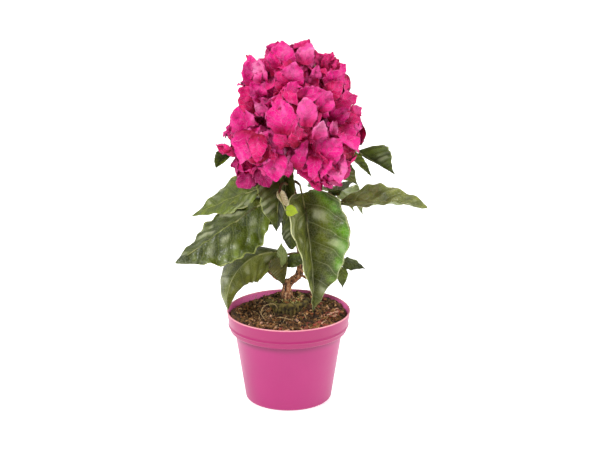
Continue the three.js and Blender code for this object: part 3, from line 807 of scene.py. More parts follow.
def midribAt(blades, u):
    # An arc that leaves the blade's axis at `start` degrees towards `out` and turns by `bend` in all.
    # Returns its points and the directions along it, across it and out of its upper face.
    axis, out, base = (column(blades, key)[:, None] for key in ("axis", "out", "base"))
    first, turn = np.radians(column(blades, "start"))[:, None], np.radians(column(blades, "bend"))[:, None]
    length = column(blades, "length")[:, None]
    last = first + turn * u
    along = (length * (np.sin(last) - np.sin(first)) / turn)[..., None]
    away = (length * (np.cos(first) - np.cos(last)) / turn)[..., None]
    ahead = axis * np.cos(last)[..., None] + out * np.sin(last)[..., None]
    side = np.cross(axis, out) + 0 * ahead
    roll = column(blades, "roll")[:, None] + column(blades, "twist")[:, None] * u
    side = turned(side, ahead, roll)
    return base + axis * along + out * away, ahead, side, np.cross(ahead, side)


def bladeShells(blades, form, rows, columns, slots, cell, cells):
    # Blades as closed thin shells, all at once. Rows run from base to tip, closer near both ends, and
    # columns from margin to margin. A point is the midrib's plus the half-width to the side, raised by a
    # fold, a cup, a ripple that grows to the margin, quilting between the side veins and a crinkle. The side
    # veins are the lines of even `flow`: u less the distance from the midrib times `slant` and less its
    # square times `sweep`, strayed by noise. The half-width has shallow scallops. The two faces part by the
    # thickness and meet at the margin. Each face of each blade has its own tile in the map for baking, from
    # tile `cell` on, `cells` tiles to a row.
    blades = [{**form, **blade} for blade in blades]
    count = len(blades)
    u = 0.5 - 0.5 * np.cos(np.pi * np.arange(rows + 1) / rows)
    v = np.linspace(-1, 1, columns + 1)
    middle, _, side, normal = (a[:, :, None] for a in midribAt(blades, u[None, :] + np.zeros((count, 1))))
    u, v = u[None, :, None], v[None, None, :]
    keys = "length width fold cup wave waves phase ruffle ruffles crinkle quilt lean scallop rise fall drip"
    take = {key: column(blades, key)[:, None, None] for key in keys.split()}
    length, fold = take["length"], np.radians(take["fold"])
    shape = outline(u, take["rise"], take["fall"], take["drip"])
    scallops = np.sin(2 * np.pi * 1.3 * take["ruffles"] * u + take["phase"] + 2 * v)
    half = shape * take["width"] / 2 * (1 + take["lean"] * v) * (1 + take["scallop"] * scallops)
    reach = v * half * np.cos(fold)
    phase = take["phase"] + form["offset"] * (v > 0)
    rise = np.abs(v) * half * np.sin(fold) + take["cup"] * v ** 2 * half
    rise = rise + take["wave"] * v ** 2 * shape * np.sin(2 * np.pi * take["waves"] * u + phase)
    edge = np.abs(v) ** 3 * shape ** 0.5
    rise = rise + take["ruffle"] * edge * np.sin(2 * np.pi * take["ruffles"] * u + 2.3 * phase)
    across = np.abs(reach) / length
    flat = middle + side * reach[..., None]
    stray = form["stray"] * noise(flat, 0.16 * length[..., None], 2)
    flow = u - form["slant"] * across - form["sweep"] * across ** 2 + stray * np.minimum(1, 8 * across)
    groove = np.cos(2 * np.pi * (flow * form["veins"] + 0.5 * (v > 0)))
    uneven = 1 + 1.5 * noise(flat + 60, 0.22 * length[..., None], 1)
    onBlade = np.minimum(1, 5 * across) * (1 - v ** 4)
    rise = rise - take["quilt"] * groove * uneven * onBlade * np.sin(np.pi * u)
    rise = rise - take["quilt"] * 1.3 * np.exp(-(across * length / 2.2) ** 2) * np.sin(np.pi * u) ** 0.5
    rise = rise + take["crinkle"] * noise(flat, form["grain"], 2) * 2 * np.minimum(1, 4 * shape)
    surface = flat + normal * rise[..., None]
    lift = (0.5 * form["thickness"] * np.sqrt(np.maximum(0, 1 - v ** 2)) + 0 * rise)[..., None] * normal
    upper, under = surface + lift, surface - lift
    pole = surface[:, [0, -1], columns // 2][:, :, None]
    points = np.concatenate([
        pole[:, 0], upper[:, 1:-1].reshape(count, -1, 3),
        pole[:, 1], under[:, 1:-1, 1:-1].reshape(count, -1, 3),
    ], 1)
    wide = columns + 1
    tip = 1 + (rows - 1) * wide
    inner = 1 + np.arange((rows - 1) * wide).reshape(-1, wide)
    front = np.vstack([np.zeros((1, wide), int), inner, np.full((1, wide), tip)])
    back = front.copy()
    back[1:-1, 1:-1] = tip + 1 + np.arange((rows - 1) * (columns - 1)).reshape(rows - 1, columns - 1)
    faces = np.vstack([gridFaces(front.T, False), gridFaces(back.T, False)[:, ::-1]])
    spots = np.stack(np.meshgrid(np.arange(rows + 1), np.arange(wide), indexing="ij"), -1).reshape(-1, 2)
    number = np.arange((rows + 1) * wide).reshape(rows + 1, wide)
    corner = gridFaces(number.T, False)
    corner = spots[np.vstack([corner, corner[:, ::-1]])]
    along, over = u[0, corner[..., 0], 0], v[0, 0, corner[..., 1]]
    spread = half[:, corner[..., 0], corner[..., 1]] / length
    surfaceMap = np.stack([along + 0 * spread, 0.5 + over * spread], -1)
    flow = np.broadcast_to(flow, (count, rows + 1, wide))[:, corner[..., 0], corner[..., 1]]
    marginMap = np.stack([flow, 0.5 + 0.5 * over + 0 * spread], -1)
    isBack = np.arange(len(faces)) >= len(faces) // 2
    place = (cell + 2 * np.arange(count)[:, None] + isBack)[..., None]
    tile = np.stack([place % cells, place // cells], -1)
    bakeMap = (tile + 0.03 + 0.94 * np.stack([along, 0.5 + 0.5 * over], -1)) / cells
    shift = np.arange(count)[:, None, None] * points.shape[1]
    slots = np.asarray(slots)[:, isBack.astype(int)]
    return {
        "points": points.reshape(-1, 3), "faces": (faces + shift).reshape(-1, 4), "slots": slots.ravel(),
        "maps": {
            "surface": surfaceMap.reshape(-1, 4, 2), "margin": marginMap.reshape(-1, 4, 2),
            "OFBake": bakeMap.reshape(-1, 4, 2),
        },
    }


def bladeMaps(paint, form):
    # From a blade's own maps: the place along it, the distance from its midrib, the place across it from 0
    # to 1, and the nearness to a side vein, from 0 midway between two to 0.5 on one
    x, y, _ = paint.axes(paint.uv("surface"))
    flow, across, _ = paint.axes(paint.uv("margin"))
    near = ((flow * form["veins"] + y.over(0.5) * 0.5).part() - 0.5).size()
    return x, (y - 0.5).size(), across, near


# Leaves, on the shoots of the part's source

# A leaf's outline, its thickness, the number and the run of its side veins, and the grain of its crinkle
leafForm = {
    "rise": 0.6, "fall": 1.25, "drip": 0.28, "offset": 1.7, "thickness": 0.5, "veins": 6.5, "slant": 0.55,
    "sweep": 1.7, "stray": 0.09, "grain": 11, "scallop": 0.035,
}
# What a leaf has where it gives nothing else; quilt, ruffle and crinkle are for a length of 100 mm
leafRelief = {"seed": 8, "cup": 0.1, "waves": 3, "quilt": 0.72, "ruffle": 1.3, "crinkle": 2.2}
# Lengths from and to, and the rows and columns of a blade of such a length
leafGrids = [(0, 40, 28, 14), (40, 72, 44, 24), (72, 200, 72, 40)]
leafTones = {
    # Upper face, its darker mottle and painted shade, its veins and margin, and the face towards its second
    # margin
    "deep": [(80, 92, 6), (38, 48, 2), (164, 172, 84), (90, 106, 12)],
    "mid": [(98, 112, 10), (50, 62, 4), (182, 188, 100), (110, 128, 14)],
    "fresh": [(102, 110, 22), (52, 58, 8), (222, 224, 166), (84, 136, 4)],
    "dull": [(120, 126, 36), (74, 82, 14), (214, 214, 156), (132, 140, 50)],
    "cream": [(240, 230, 186), (196, 168, 112), (240, 232, 200), (236, 222, 190)],
    "rusty": [(100, 90, 16), (62, 64, 8), (136, 110, 50), (104, 74, 18)],
    "lime": [(184, 204, 34), (150, 172, 26), (214, 220, 120), (184, 204, 34)],
    "under": [(122, 134, 66), (98, 110, 48), (176, 184, 120), (122, 134, 66)],
}


def leaf(at, stalk, azimuth, pitch, length, width, droop, tone, **more):
    # A leaf at point `at` of its stem, or at a node of its own: the way it points, its size, how far it
    # droops along its length, its tone, and how it differs from the form of its kind
    return {"at": at, "stalk": stalk, "azimuth": azimuth, "pitch": pitch, "length": length, "width": width,
            "droop": droop, "tone": tone, **more}


shoots = [
    {"name": "leaves_left", "stem": [(4.4, 10, 206), (-8, 10.5, 206), (-17, 13, 207)], "leaves": [
        leaf(2, 8, 164, -20, 81, 46, 12, "mid", roll=-37, twist=13, fold=-2, lean=-0.09, drip=0.16,
             wave=1.5),
        leaf(1, 8, -160, -28, 106, 70, 3, "deep", node=(-12, 2, 201), roll=-41, twist=27, fold=-31,
             lean=0.02, rise=0.68, fall=0.92, drip=0.14, wave=2.2),
    ]},
    {"name": "leaves_left_tip", "stem": [(2.9, 9, 233), (-18, 9, 239), (-36, 9, 245)], "leaves": [
        leaf(2, 3, 170, -43, 25, 20, 13, "mid", node=(-50, 9, 245), roll=-78, fold=52, cup=0.4, lean=-0.1,
             rise=0.4, fall=1.07, drip=0, wave=0.5),
    ]},
    {"name": "leaves_middle", "stem": [(2.9, 9.5, 226), (-2, 4, 230), (-6, 0, 230)], "leaves": [
        leaf(2, 6, -96, -46, 62, 39, 4, "deep", roll=-56, twist=16, fold=-20, cup=-0.2, fall=1.14, drip=0.12,
             wave=0.8),
    ]},
    {"name": "leaves_front", "stem": [(3.2, 10, 212), (7, 2, 214), (11, -6, 213)], "leaves": [
        leaf(2, 8, -63.6, -61.5, 114.5, 81, 33, "fresh", roll=9.5, twist=-22, fold=44, cup=0.11, lean=-0.03,
             rise=0.44, fall=1.18, drip=0.12, wave=2.4, ruffle=1.5, scallop=0.02),
    ]},
    {"name": "leaves_right", "stem": [(7.2, 10, 188), (18, 9, 186), (34, 5, 188)], "leaves": [
        leaf(2, 8, -4, 16, 90.5, 55, 35, "dull", roll=20, twist=-25, fold=11, lean=-0.18, rise=1.18,
             fall=0.76, drip=0, wave=2, waves=1.6, phase=1.9),
        leaf(1, 6, 25, 29, 36, 20, 10, "mid", node=(31, 20, 189), wave=1),
    ]},
    {"name": "leaves_right_top", "stem": [(2.9, 9.2, 229), (30, 16, 234), (65, 18, 240)], "leaves": [
        leaf(2, 3, 20, -33, 50, 22, 3, "deep", node=(62, 16, 241), roll=80, twist=-32, fold=48, cup=0.35,
             lean=0.7, rise=0.8, fall=1.9, drip=0, wave=1),
        leaf(2, 2, 1, -44, 31, 13, 3, "mid", node=(56, 14, 238), roll=30, twist=20, fold=24, cup=0.29,
             rise=0.4, fall=1.24, drip=0, wave=0.4),
    ]},
    {"name": "leaves_left_low", "stem": [(11.2, 10, 140), (5, 6, 142), (-1, 3, 142)], "leaves": [
        leaf(2, 3, -152.6, 26, 94.5, 52, 128, "dull", roll=-52, twist=-10.5, fold=-50, cup=-0.38, lean=0.12,
             rise=0.4, fall=0.7, drip=0.12, wave=1.6),
        leaf(2, 1, -100, 84, 24, 11, 4, "mid", node=(-6, -6, 133), fold=14, rise=0.5, fall=0.9, wave=0.5),
        leaf(2, 1, -121, -79, 25.5, 18, 3, "rusty", node=(-2, -3, 142), roll=-14, fold=34, cup=0.25,
             lean=-0.7, rise=0.3, fall=0.75, drip=0.2, wave=0.6),
    ]},
    {"name": "leaves_stub", "stem": [(-12, 6, 119), (-13, 2, 124), (-14, 0, 130)], "leaves": [
        leaf(2, 5, 160, 40, 26, 13, 40, "mid", wave=0.6),
    ]},
    {"name": "leaves_right_low", "stem": [(11.4, 10, 134), (28, 12, 131), (45, 12, 131)], "leaves": [
        leaf(2, 5, -4, 2, 25, 18, 34, "deep", roll=24, fold=-14, wave=0.8),
        leaf(2, 2, -70, -74, 21, 12, 8, "mid", node=(50, 11, 129), wave=0.4),
        leaf(1, 5, 96, -10, 26, 12, 20, "deep", wave=0.4),
    ]},
    {"name": "leaves_back_left", "stem": [(8, 10, 184), (0, 20, 185), (-10, 30, 188)], "leaves": [
        leaf(2, 8, 138, 0, 88, 46, 45, "mid", roll=10, wave=2.5),
        leaf(1, 8, 200, -20, 58, 30, 40, "deep", roll=-10, wave=1.6),
    ]},
    {"name": "leaves_back_right", "stem": [(7.4, 10, 190), (14, 22, 192), (21, 33, 196)], "leaves": [
        leaf(2, 8, 52, -5, 92, 48, 50, "fresh", roll=-8, wave=2.5),
        leaf(1, 8, 96, -35, 70, 38, 35, "mid", roll=6, wave=1.8),
    ]},
    {"name": "leaves_back_low", "stem": [(11.2, 10, 144), (14, 20, 143), (17, 29, 145)], "leaves": [
        leaf(2, 7, 78, 0, 66, 38, 65, "deep", roll=5, wave=2),
        leaf(1, 7, 20, 15, 44, 22, 60, "mid", roll=-10, wave=1.2),
    ]},
]
sprigs = [
    # Smaller shoots between those above
    {"stem": [(8.4, 10, 181), (6, 7, 185), (3.5, 4, 186)], "leaves": [
        leaf(2, 2, -98, -85, 37, 19, 4, "deep", fold=12, fall=0.7, drip=0.1, wave=1),
    ]},
    {"stem": [(2.9, 9.4, 226), (0, 5, 227), (-2, 2, 226)], "leaves": [
        leaf(2, 1, -104, -80, 56, 18, -4, "deep", fold=10, lean=0.1, rise=0.3, fall=0.8, wave=0.6),
    ]},
    {"stem": [(3.4, 10, 208), (-5, -12, 216), (-8.5, -36, 214)], "leaves": [
        leaf(2, 0.5, -34, -50, 19, 9, 6, "cream", node=(-9, -25, 214), roll=60, fold=16, rise=0.4, fall=0.9,
             wave=1.2),
        leaf(2, 0.5, -8, -4, 11.5, 11, 14, "lime", node=(-2.4, -58, 205), roll=66, fold=10, rise=0.5,
             fall=0.9, wave=0.6),
    ]},
    {"stem": [(11.2, 10, 139), (4, 6, 138), (-1, 0, 135)], "leaves": [
        leaf(2, 1, -8, 24, 26, 13, 10, "deep", node=(-4, 0, 133), roll=62, fold=12, rise=0.5, fall=0.9,
             wave=1),
    ]},
    {"stem": [(30, 16, 234), (33, 13, 234), (37, 11, 233)], "leaves": [
        leaf(2, 4, -6, -34, 34, 22, 14, "dull", roll=40, fold=10, wave=1),
        leaf(1, 5, -62, -34, 32, 16, 24, "deep", roll=-14, fold=14, wave=1),
    ]},
    {"stem": [(6.2, 10, 196), (2, 16, 199), (-4, 22, 203)], "leaves": [
        leaf(2, 5, 152, -26, 46, 24, 26, "mid", roll=12, fold=12, wave=1),
        leaf(1, 5, 96, -44, 34, 17, 20, "deep", roll=-8, fold=14, wave=0.8),
    ]},
    {"stem": [(7.2, 10, 191), (17, 17, 192), (31, 22, 204)], "leaves": [
        leaf(2, 5, 28, -30, 44, 22, 24, "mid", roll=-8, fold=12, wave=1),
    ]},
]


def leafPaint(tone, roughness):
    # Leaf: green with a darker mottle and a fine net of cells, painted shade towards the side veins, and
    # greyish patches of painted sheen between them. The side veins and a thin margin are pale, and the midrib
    # is brown at its foot. The blade is raised between the veins and in each cell of the net, and sunk along
    # the midrib.
    plain, dark, pale, second = leafTones[tone]
    gloss = {"Specular IOR Level": 0.42, "Coat Weight": 0.06, "Coat Roughness": 0.2}
    paint = Paint("leaf" + tone.title(), roughness, **gloss)
    x, aside, across, near = bladeMaps(paint, leafForm)
    lateral = near.step(0.455, 0.5) * (1 - x.step(0.82, 0.95)) * aside.step(0.0, 0.03)
    spine = 1 - (aside / (1.15 - x)).step(0.002, 0.010)
    margin = (across - 0.5).size().step(0.468, 0.495)
    if tone == "fresh":
        # Its first margin is a broad cream band, strayed by a noise
        margin = margin * 0.7 + (1 - (across + paint.noise(90, 2) * 0.03).step(0.03, 0.075))
    net = paint.cells(46, paint.uv("surface"))
    green = paint.mix(across.step(0.66, 0.94) * (1 - x.step(0.6, 0.85)), plain, second)
    body = paint.mix(paint.noise(75, 4).step(0.3, 0.62) * 0.75 + 0.25 * across.step(0.6, 0.9), dark, green)
    body = paint.mix((1 - net.step(0.0, 0.12)) * 0.1, body, pale)
    # Painted shade: darker towards each side vein, where the blade is sunk
    body = paint.mix(near.step(0.08, 0.46) * 0.5, body, dark)
    # Painted sheen: greyish-pale patches between the side veins stand in for the leaf's glossy highlights
    between = (1 - near.step(0.12, 0.4)) * aside.step(0.02, 0.07)
    body = paint.patches(body, (188, 192, 156), 52, 2, 0.5, 0.7, between * 0.42)
    body = paint.mix(lateral * 0.15 + margin * 0.75, body, pale)
    rib = paint.mix(x.step(0.15, 0.55), (70, 54, 22), pale)
    body = paint.mix(spine * 0.65, body, rib)
    paint.colour(body)
    paint.link("Roughness", roughness - 0.12 + paint.noise(120, 3) * 0.24)
    height = (1 - near.step(0.2, 0.5)) * 0.5 + net.step(0.0, 0.16) * 0.2 - spine * 0.4
    paint.bump(height + paint.noise(170, 3) * 0.4, 0.0013, 0.8)
    return paint


def leafBlades():
    # Each leaf's arc, from the point of its stem, and the route of its stalk. The relief grows with its
    # length.
    rng = np.random.default_rng(leafRelief["seed"])
    blades, stalks = [], []
    for shoot in shoots + sprigs:
        for each in shoot["leaves"]:
            start = np.array(shoot["stem"][each["at"]], float)
            node = np.array(each.get("node", start), float)
            turn, pitch = math.radians(each["azimuth"]), math.radians(each["pitch"])
            out = np.array([math.cos(turn), math.sin(turn), 0])
            size = each["length"] / 100
            grown = {key: leafRelief[key] * size for key in ("quilt", "ruffle", "crinkle")}
            blade = {
                "waves": leafRelief["waves"], "cup": leafRelief["cup"], "phase": each["azimuth"],
                "ruffles": 5 + 2 * rng.random(), **grown, **each, "axis": up, "out": out,
                "start": 90 - each["pitch"], "bend": each["droop"],
                "base": node + each["stalk"] * (up * math.sin(pitch) + out * math.cos(pitch)),
            }
            blades.append(blade)
            middle, *_ = midribAt([blade], np.array([[0.0, 0.12, 0.85]]))
            route = [node, (node + blade["base"]) / 2 - up * 0.4, middle[0, 0], middle[0, 1]]
            stalks.append(([start, *route] if "node" in each else route, blade))
    return blades, stalks


def buildLeaves():
    # Leaves in three groups by length, each with a grid of its own, and all in one map for baking
    tones = list(leafTones)
    paints = [leafPaint(tone, 0.5 if tone == "under" else 0.34) for tone in tones]
    blades, stalks = leafBlades()
    cells = math.ceil(math.sqrt(2 * len(blades)))
    shapes, cell = [], 0
    for low, high, rows, columns in leafGrids:
        group = [blade for blade in blades if low <= blade["length"] < high]
        slots = [[tones.index(blade["tone"]), tones.index("under")] for blade in group]
        shapes.append(bladeShells(group, leafForm, rows, columns, slots, cell, cells))
        cell += 2 * len(group)
    piece = addPiece("leafBlades", shapes, paints)
    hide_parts(*[shoot["name"] for shoot in shoots])
    return stalks


# Flower heads: the rule of the part's source, then smaller flowers between the first ones

heads = [
    # Node, middle, radius and seed
    ("bracts_top", (4, 0, 314), 30, 11), ("bracts_front", (8, -36, 290), 30, 12),
    ("bracts_upper_left", (-20, -4, 304), 25, 13), ("bracts_upper_right", (33, -2, 304), 25, 84),
    ("bracts_left", (-37, -2, 261), 21.5, 15), ("bracts_right", (46, 0, 264), 24, 22),
    ("bracts_front_left", (-23, -33, 254), 26, 17), ("bracts_front_right", (34, -33, 247), 28, 18),
    ("bracts_low_left", (-34, 4, 230), 20, 19), ("bracts_back_top", (8, 34, 298), 29, 20),
    ("bracts_back_left", (-21, 37, 259), 28, 21), ("bracts_back_right", (35, 37, 259), 28, 24),
    ("bracts_back", (8, 36, 235), 24, 23),
]
# A ball of bracts between the heads, seen only in the hollows
core = ("core", (7, 4, 268), 33, 27)
crown = np.array([6.0, 1.0, 268.0])
skew = np.array([0.21, 0.35, 0.91])
bloom = {
    "seed": 17, "tried": 34, "inward": -0.35, "jitter": 0.3, "depth": 19, "spacing": 26, "buried": 0.86,
    "bracts": 3, "length": [26, 33], "start": [24, 42], "bend": [26, 50], "turn": 8, "size": 0.9,
    # The smaller flowers between the first ones, and how much smaller and deeper a flower stands that faces
    # the viewer, under the large front bracts
    "fillSpacing": 15, "fillBuried": 0.7, "fillInward": -0.5, "fillReach": 0.78, "fillSize": 0.76,
    "fillDepth": 15, "sunk": 0.76, "deeper": 5,
    # The large front bracts
    "frontStart": [44, 68], "frontBend": [24, 60], "frontDepth": -0.9, "crumple": 1.35,
    # The bracts that lie on the heads all round
    "skin": 32, "skinBuried": 0.84, "skinInward": -0.4, "skinDepth": [4.5, 9], "skinTilt": 0.26,
    "skinLength": [25, 33], "skinSunk": 0.34, "clear": 3, "shares": [1, 0.9, 0.8, 0.7, 0.6],
    # Rows and columns of the large bracts, those of the skin and those of the flowers
    "grids": [(18, 16), (12, 10), (9, 8)],
}
bractForm = {
    "rise": 0.5, "fall": 0.62, "drip": 0.16, "offset": 2.4, "thickness": 0.24, "veins": 4.6, "slant": 0.5,
    "sweep": 0.9, "stray": 0.12, "grain": 5, "scallop": 0.045,
}
bractRelief = {"crinkle": 2.2, "quilt": 0.55}
bractVary = {
    # In the order of the draws: the least and the spread of an even draw, or the width of a bell-shaped one
    "cup": (-0.1, 0.5), "fold": (-8, 30), "wave": (1.6, 2.0), "waves": (0.8, 0.9), "phase": (0, 6.28),
    "ruffle": (0.5, 0.9), "ruffles": (2.5, 1.8), "roll": 14, "twist": 16, "lean": 0.1, "fall": (0.62, 0.36),
}
bractTones = [
    # Painted shade for the throat and hollows, body, and the paler patches of painted highlight
    [(140, 0, 42), (206, 4, 102), (224, 80, 150)],
    [(144, 0, 52), (208, 10, 118), (228, 98, 168)],
    [(130, 0, 34), (196, 0, 84), (216, 44, 122)],
    [(172, 10, 74), (218, 64, 142), (234, 146, 190)],
    [(106, 0, 48), (156, 0, 84), (190, 36, 124)],
]
frontBracts = [
    # The large bracts that face the front: the middle of each in the camera's frame, in pixels to the right
    # and down, the turn of its tip from level, its length and width, and its tone
    (283, 55, 94, 29, 26, 1), (272, 62, 112, 26, 16, 0), (306, 53, 72, 24, 19, 3), (293, 76, 82, 27, 26, 1),
    (283, 82, 112, 22, 15, 0), (314, 77, 80, 24, 12, 3), (320, 62, 104, 18, 15, 0), (329, 63, 62, 18, 16, 0),
    (338, 78, 62, 29, 23, 1), (334, 89, 40, 22, 18, 2), (252, 72, 96, 31, 20, 1), (262, 72, 102, 25, 16, 3),
    (268, 60, 96, 15, 5, 2), (247, 93, 150, 18, 15, 0), (247, 104, 142, 20, 17, 2), (257, 91, 122, 20, 16, 1),
    (263, 106, 140, 21, 19, 3), (281, 117, 96, 33, 32, 1), (245, 122, 108, 32, 31, 1),
    (244, 147, 252, 34, 28, 1), (257, 148, 268, 27, 18, 0), (224, 148, 172, 15, 9, 2),
    (290, 96, -52, 23, 11, 0), (306, 112, 92, 27, 21, 3), (318, 131, 72, 22, 14, 3), (311, 95, 16, 28, 15, 1),
    (325, 102, 52, 22, 19, 1), (345, 101, 22, 27, 22, 0), (349, 121, 4, 22, 16, 2), (339, 115, 34, 25, 20, 1),
    (348, 139, -62, 33, 28, 1), (333, 131, 80, 20, 9, 3), (297, 135, 100, 23, 19, 2),
    (281, 139, 124, 22, 16, 0), (274, 167, -82, 27, 24, 1), (290, 157, -96, 20, 13, 3),
    (302, 154, 64, 30, 15, 1), (331, 150, 48, 28, 26, 1), (337, 169, -80, 28, 23, 3),
    (325, 166, -108, 25, 16, 1), (313, 168, -98, 23, 17, 1), (342, 169, -72, 20, 15, 0),
    (245, 179, -142, 22, 18, 4), (265, 177, -62, 22, 19, 4), (264, 161, 12, 14, 7, 3),
    (285, 169, -52, 23, 17, 1), (226, 149, 176, 26, 14, 0), (249, 59, 105, 14, 7, 2), (268, 53, 98, 13, 4, 2),
    (279, 48, 104, 15, 17, 1), (301, 47, 84, 15, 18, 0), (325, 58, 78, 15, 20, 0), (337, 65, 66, 15, 17, 2),
    (356, 112, 30, 16, 13, 0),
]


def stream(seed):
    # Seeded numbers from 0 to 1, the same as in the part's source
    modulus = 2147483647
    state = [(seed * 7919) % modulus]

    def draw():
        state[0] = state[0] * 48271 % modulus
        return state[0] / modulus

    for _ in range(5):
        draw()
    return draw


def between(draw, pair):
    # An even draw from the first of a pair to the second
    return pair[0] + (pair[1] - pair[0]) * draw()


def evenDirection(i, count, first):
    # Direction i of a count that lie evenly on a ball: even steps of height, each turned by the golden angle
    height = 1 - (2 * i + 1) / count
    ring = math.sqrt(1 - height * height)
    turn = math.radians(first + 180 * (3 - math.sqrt(5)) * i)
    return np.array([ring * math.cos(turn), ring * math.sin(turn), height])


def fromOthers(name, point):
    # How far a point lies from the nearest other head's middle, in that head's radii
    return min(np.linalg.norm(centre - point) / radius for n, centre, radius, _ in heads if n != name)


def bractsOf(facing, draw):
    # The bracts of one flower, evenly round its axis, each strayed by a few degrees
    across = unit(np.cross(facing, skew))
    first = 360 * draw()
    made = []
    for k in range(bloom["bracts"]):
        turn = first + 360 * k / bloom["bracts"] + bloom["turn"] * (2 * draw() - 1)
        made.append({
            "out": turned(across, facing, turn), "length": between(draw, bloom["length"]),
            "start": between(draw, bloom["start"]), "bend": between(draw, bloom["bend"]),
        })
    return made


def crownBlooms():
    # Directions spread evenly round each head, less those that look inwards, stand in another head or crowd
    # a flower already there; then the crowded ones again, smaller and further in
    found, passed = [], []
    for name, centre, radius, seed in heads:
        centre = np.array(centre, float)
        draw = stream(seed)
        first = 360 * draw()
        outward = unit(centre - crown)
        for i in range(bloom["tried"]):
            stray = np.array([draw() - 0.5, draw() - 0.5, draw() - 0.5]) * bloom["jitter"]
            facing = unit(evenDirection(i, bloom["tried"], first) + stray)
            each = {"name": name, "centre": centre, "radius": radius, "facing": facing, "size": 1.0,
                    "bracts": bractsOf(facing, draw), "mouth": centre + facing * radius,
                    "depth": bloom["depth"]}
            gap = fromOthers(name, each["mouth"])
            crowded = any(np.linalg.norm(one["mouth"] - each["mouth"]) < bloom["spacing"] for one in found)
            look = float(facing @ outward)
            if gap >= bloom["buried"] and not crowded and look >= bloom["inward"]:
                found.append(each)
            elif gap >= bloom["fillBuried"] and look >= bloom["fillInward"]:
                passed.append(each)
    for each in passed:
        mouth = each["centre"] + each["facing"] * each["radius"] * bloom["fillReach"]
        if all(np.linalg.norm(one["mouth"] - mouth) >= bloom["fillSpacing"] for one in found):
            found.append({**each, "mouth": mouth, "size": bloom["fillSize"], "depth": bloom["fillDepth"]})
    return found


def bractShare(bract, place, facing, length, width):
    # The share of its size at which a bract's tip and both margins stand less than `clear` out of the heads
    for share in bloom["shares"]:
        blade = {**bract, "axis": facing, "base": place, "length": length * share}
        middle, _, side, normal = midribAt([blade], np.array([[0.5, 1.0]]))
        reach = side[0, 0] * width * share / 2
        rise = normal[0, 0] * width * share * 0.1
        spots = [middle[0, 1], middle[0, 0] + reach + rise, middle[0, 0] - reach + rise]
        gaps = [min(np.linalg.norm(spot - centre) - radius for _, centre, radius, _ in heads)
                for spot in spots]
        if max(gaps) < bloom["clear"]:
            break
    return share


def bractPaint(name, tones):
    # Bract: papery magenta, with painted shade at the throat and paler patches of painted highlight, and fine
    # veins that fan from the midrib and a net between them. The veins stand up and catch the light.
    deep, plain, pale = tones
    paint = Paint(name, 0.46, **{"Specular IOR Level": 0.14})
    x, aside, across, near = bladeMaps(paint, bractForm)
    lateral = near.step(0.41, 0.5) * aside.step(0.0, 0.03)
    spine = 1 - (aside / (1.2 - x)).step(0.003, 0.022)
    net = paint.cells(13, paint.uv("surface"))
    ridges = lateral * 0.8 + spine * 0.8 + (1 - net.step(0.0, 0.12)) * 0.35
    margin = (across - 0.5).size().step(0.45, 0.5)
    # Painted shade: the deep tone at the throat, paling to the body by the middle
    body = paint.mix(x.step(0.0, 0.5), deep, plain)
    # Painted highlights: paler patches towards the tip
    body = paint.patches(body, pale, 60, 2, 0.46, 0.7, x.step(0.2, 0.8) * 0.8)
    body = paint.patches(body, deep, 120, 3, 0.52, 0.68, 0.3)
    body = paint.mix(ridges * 0.55 * x.step(0.08, 0.4) + margin * 0.4, body, (240, 120, 176))
    paint.colour(body)
    paint.bump(ridges * 0.55 + paint.noise(130, 4) * 0.6, 0.0013, 0.9)
    return paint


def spotOn(x, y):
    # Where the ray through a point of the camera's frame first meets the heads, and that head's middle. A
    # head that the ray misses counts as further off by twelve times the miss.
    pitch = math.radians(view["pitch"])
    eye = np.array(view["place"]) / mm
    ahead = np.array([0, math.cos(pitch), -math.sin(pitch)])
    over = np.array([0, math.sin(pitch), math.cos(pitch)])
    aside = np.array([x - view["width"] / 2, 0, 0])
    ray = unit(ahead * view["focal"] + aside + over * (view["height"] / 2 - y))
    met = []
    for _, centre, radius, _ in heads:
        away = np.array(centre, float) - eye
        near = away @ ray
        miss = np.linalg.norm(away - ray * near)
        reach = near - math.sqrt(max(0, radius ** 2 - miss ** 2))
        met.append((reach + 12 * max(0, miss - radius), reach, centre))
    _, reach, centre = min(met)
    return eye + ray * reach, np.array(centre, float), eye, over


def laidBract(draw, point, facing, tip, length, width, tone):
    # A bract laid with its middle on a point: it faces one way and its tip points another, and its arc opens
    # by a share of its own
    out = unit(tip - facing * (tip @ facing))
    start, bend = between(draw, bloom["frontStart"]), between(draw, bloom["frontBend"])
    blade = {"axis": facing, "out": out, "base": np.zeros(3), "start": start, "bend": bend,
             "length": length, "width": width, "tone": tone}
    middle, *_ = midribAt([blade], np.array([[0.5]]))
    return {**blade, "base": point - middle[0, 0]}


def frontBlades():
    # The large front bracts lie where their spots are, turned half to the viewer and half outwards
    draw = stream(bloom["seed"])
    made = []
    for x, y, turn, length, width, tone in frontBracts:
        point, centre, eye, over = spotOn(x, y)
        facing = unit(0.5 * unit(point - centre) + 0.5 * unit(eye - point))
        angle = math.radians(turn)
        tip = np.array([math.cos(angle), 0, 0]) + over * math.sin(angle)
        place = point - bloom["frontDepth"] * facing
        made.append({**laidBract(draw, place, facing, tip, length, width, tone), "crumple": bloom["crumple"]})
    return made


def toneOf(name, rng):
    # The low head on the left is purple, the others on the left more magenta, the rest redder
    if name == "bracts_low_left" and rng.random() < 0.75:
        return 4
    return rng.choice(4, p=[0.24, 0.5, 0.14, 0.12] if "left" in name else [0.36, 0.22, 0.3, 0.12])


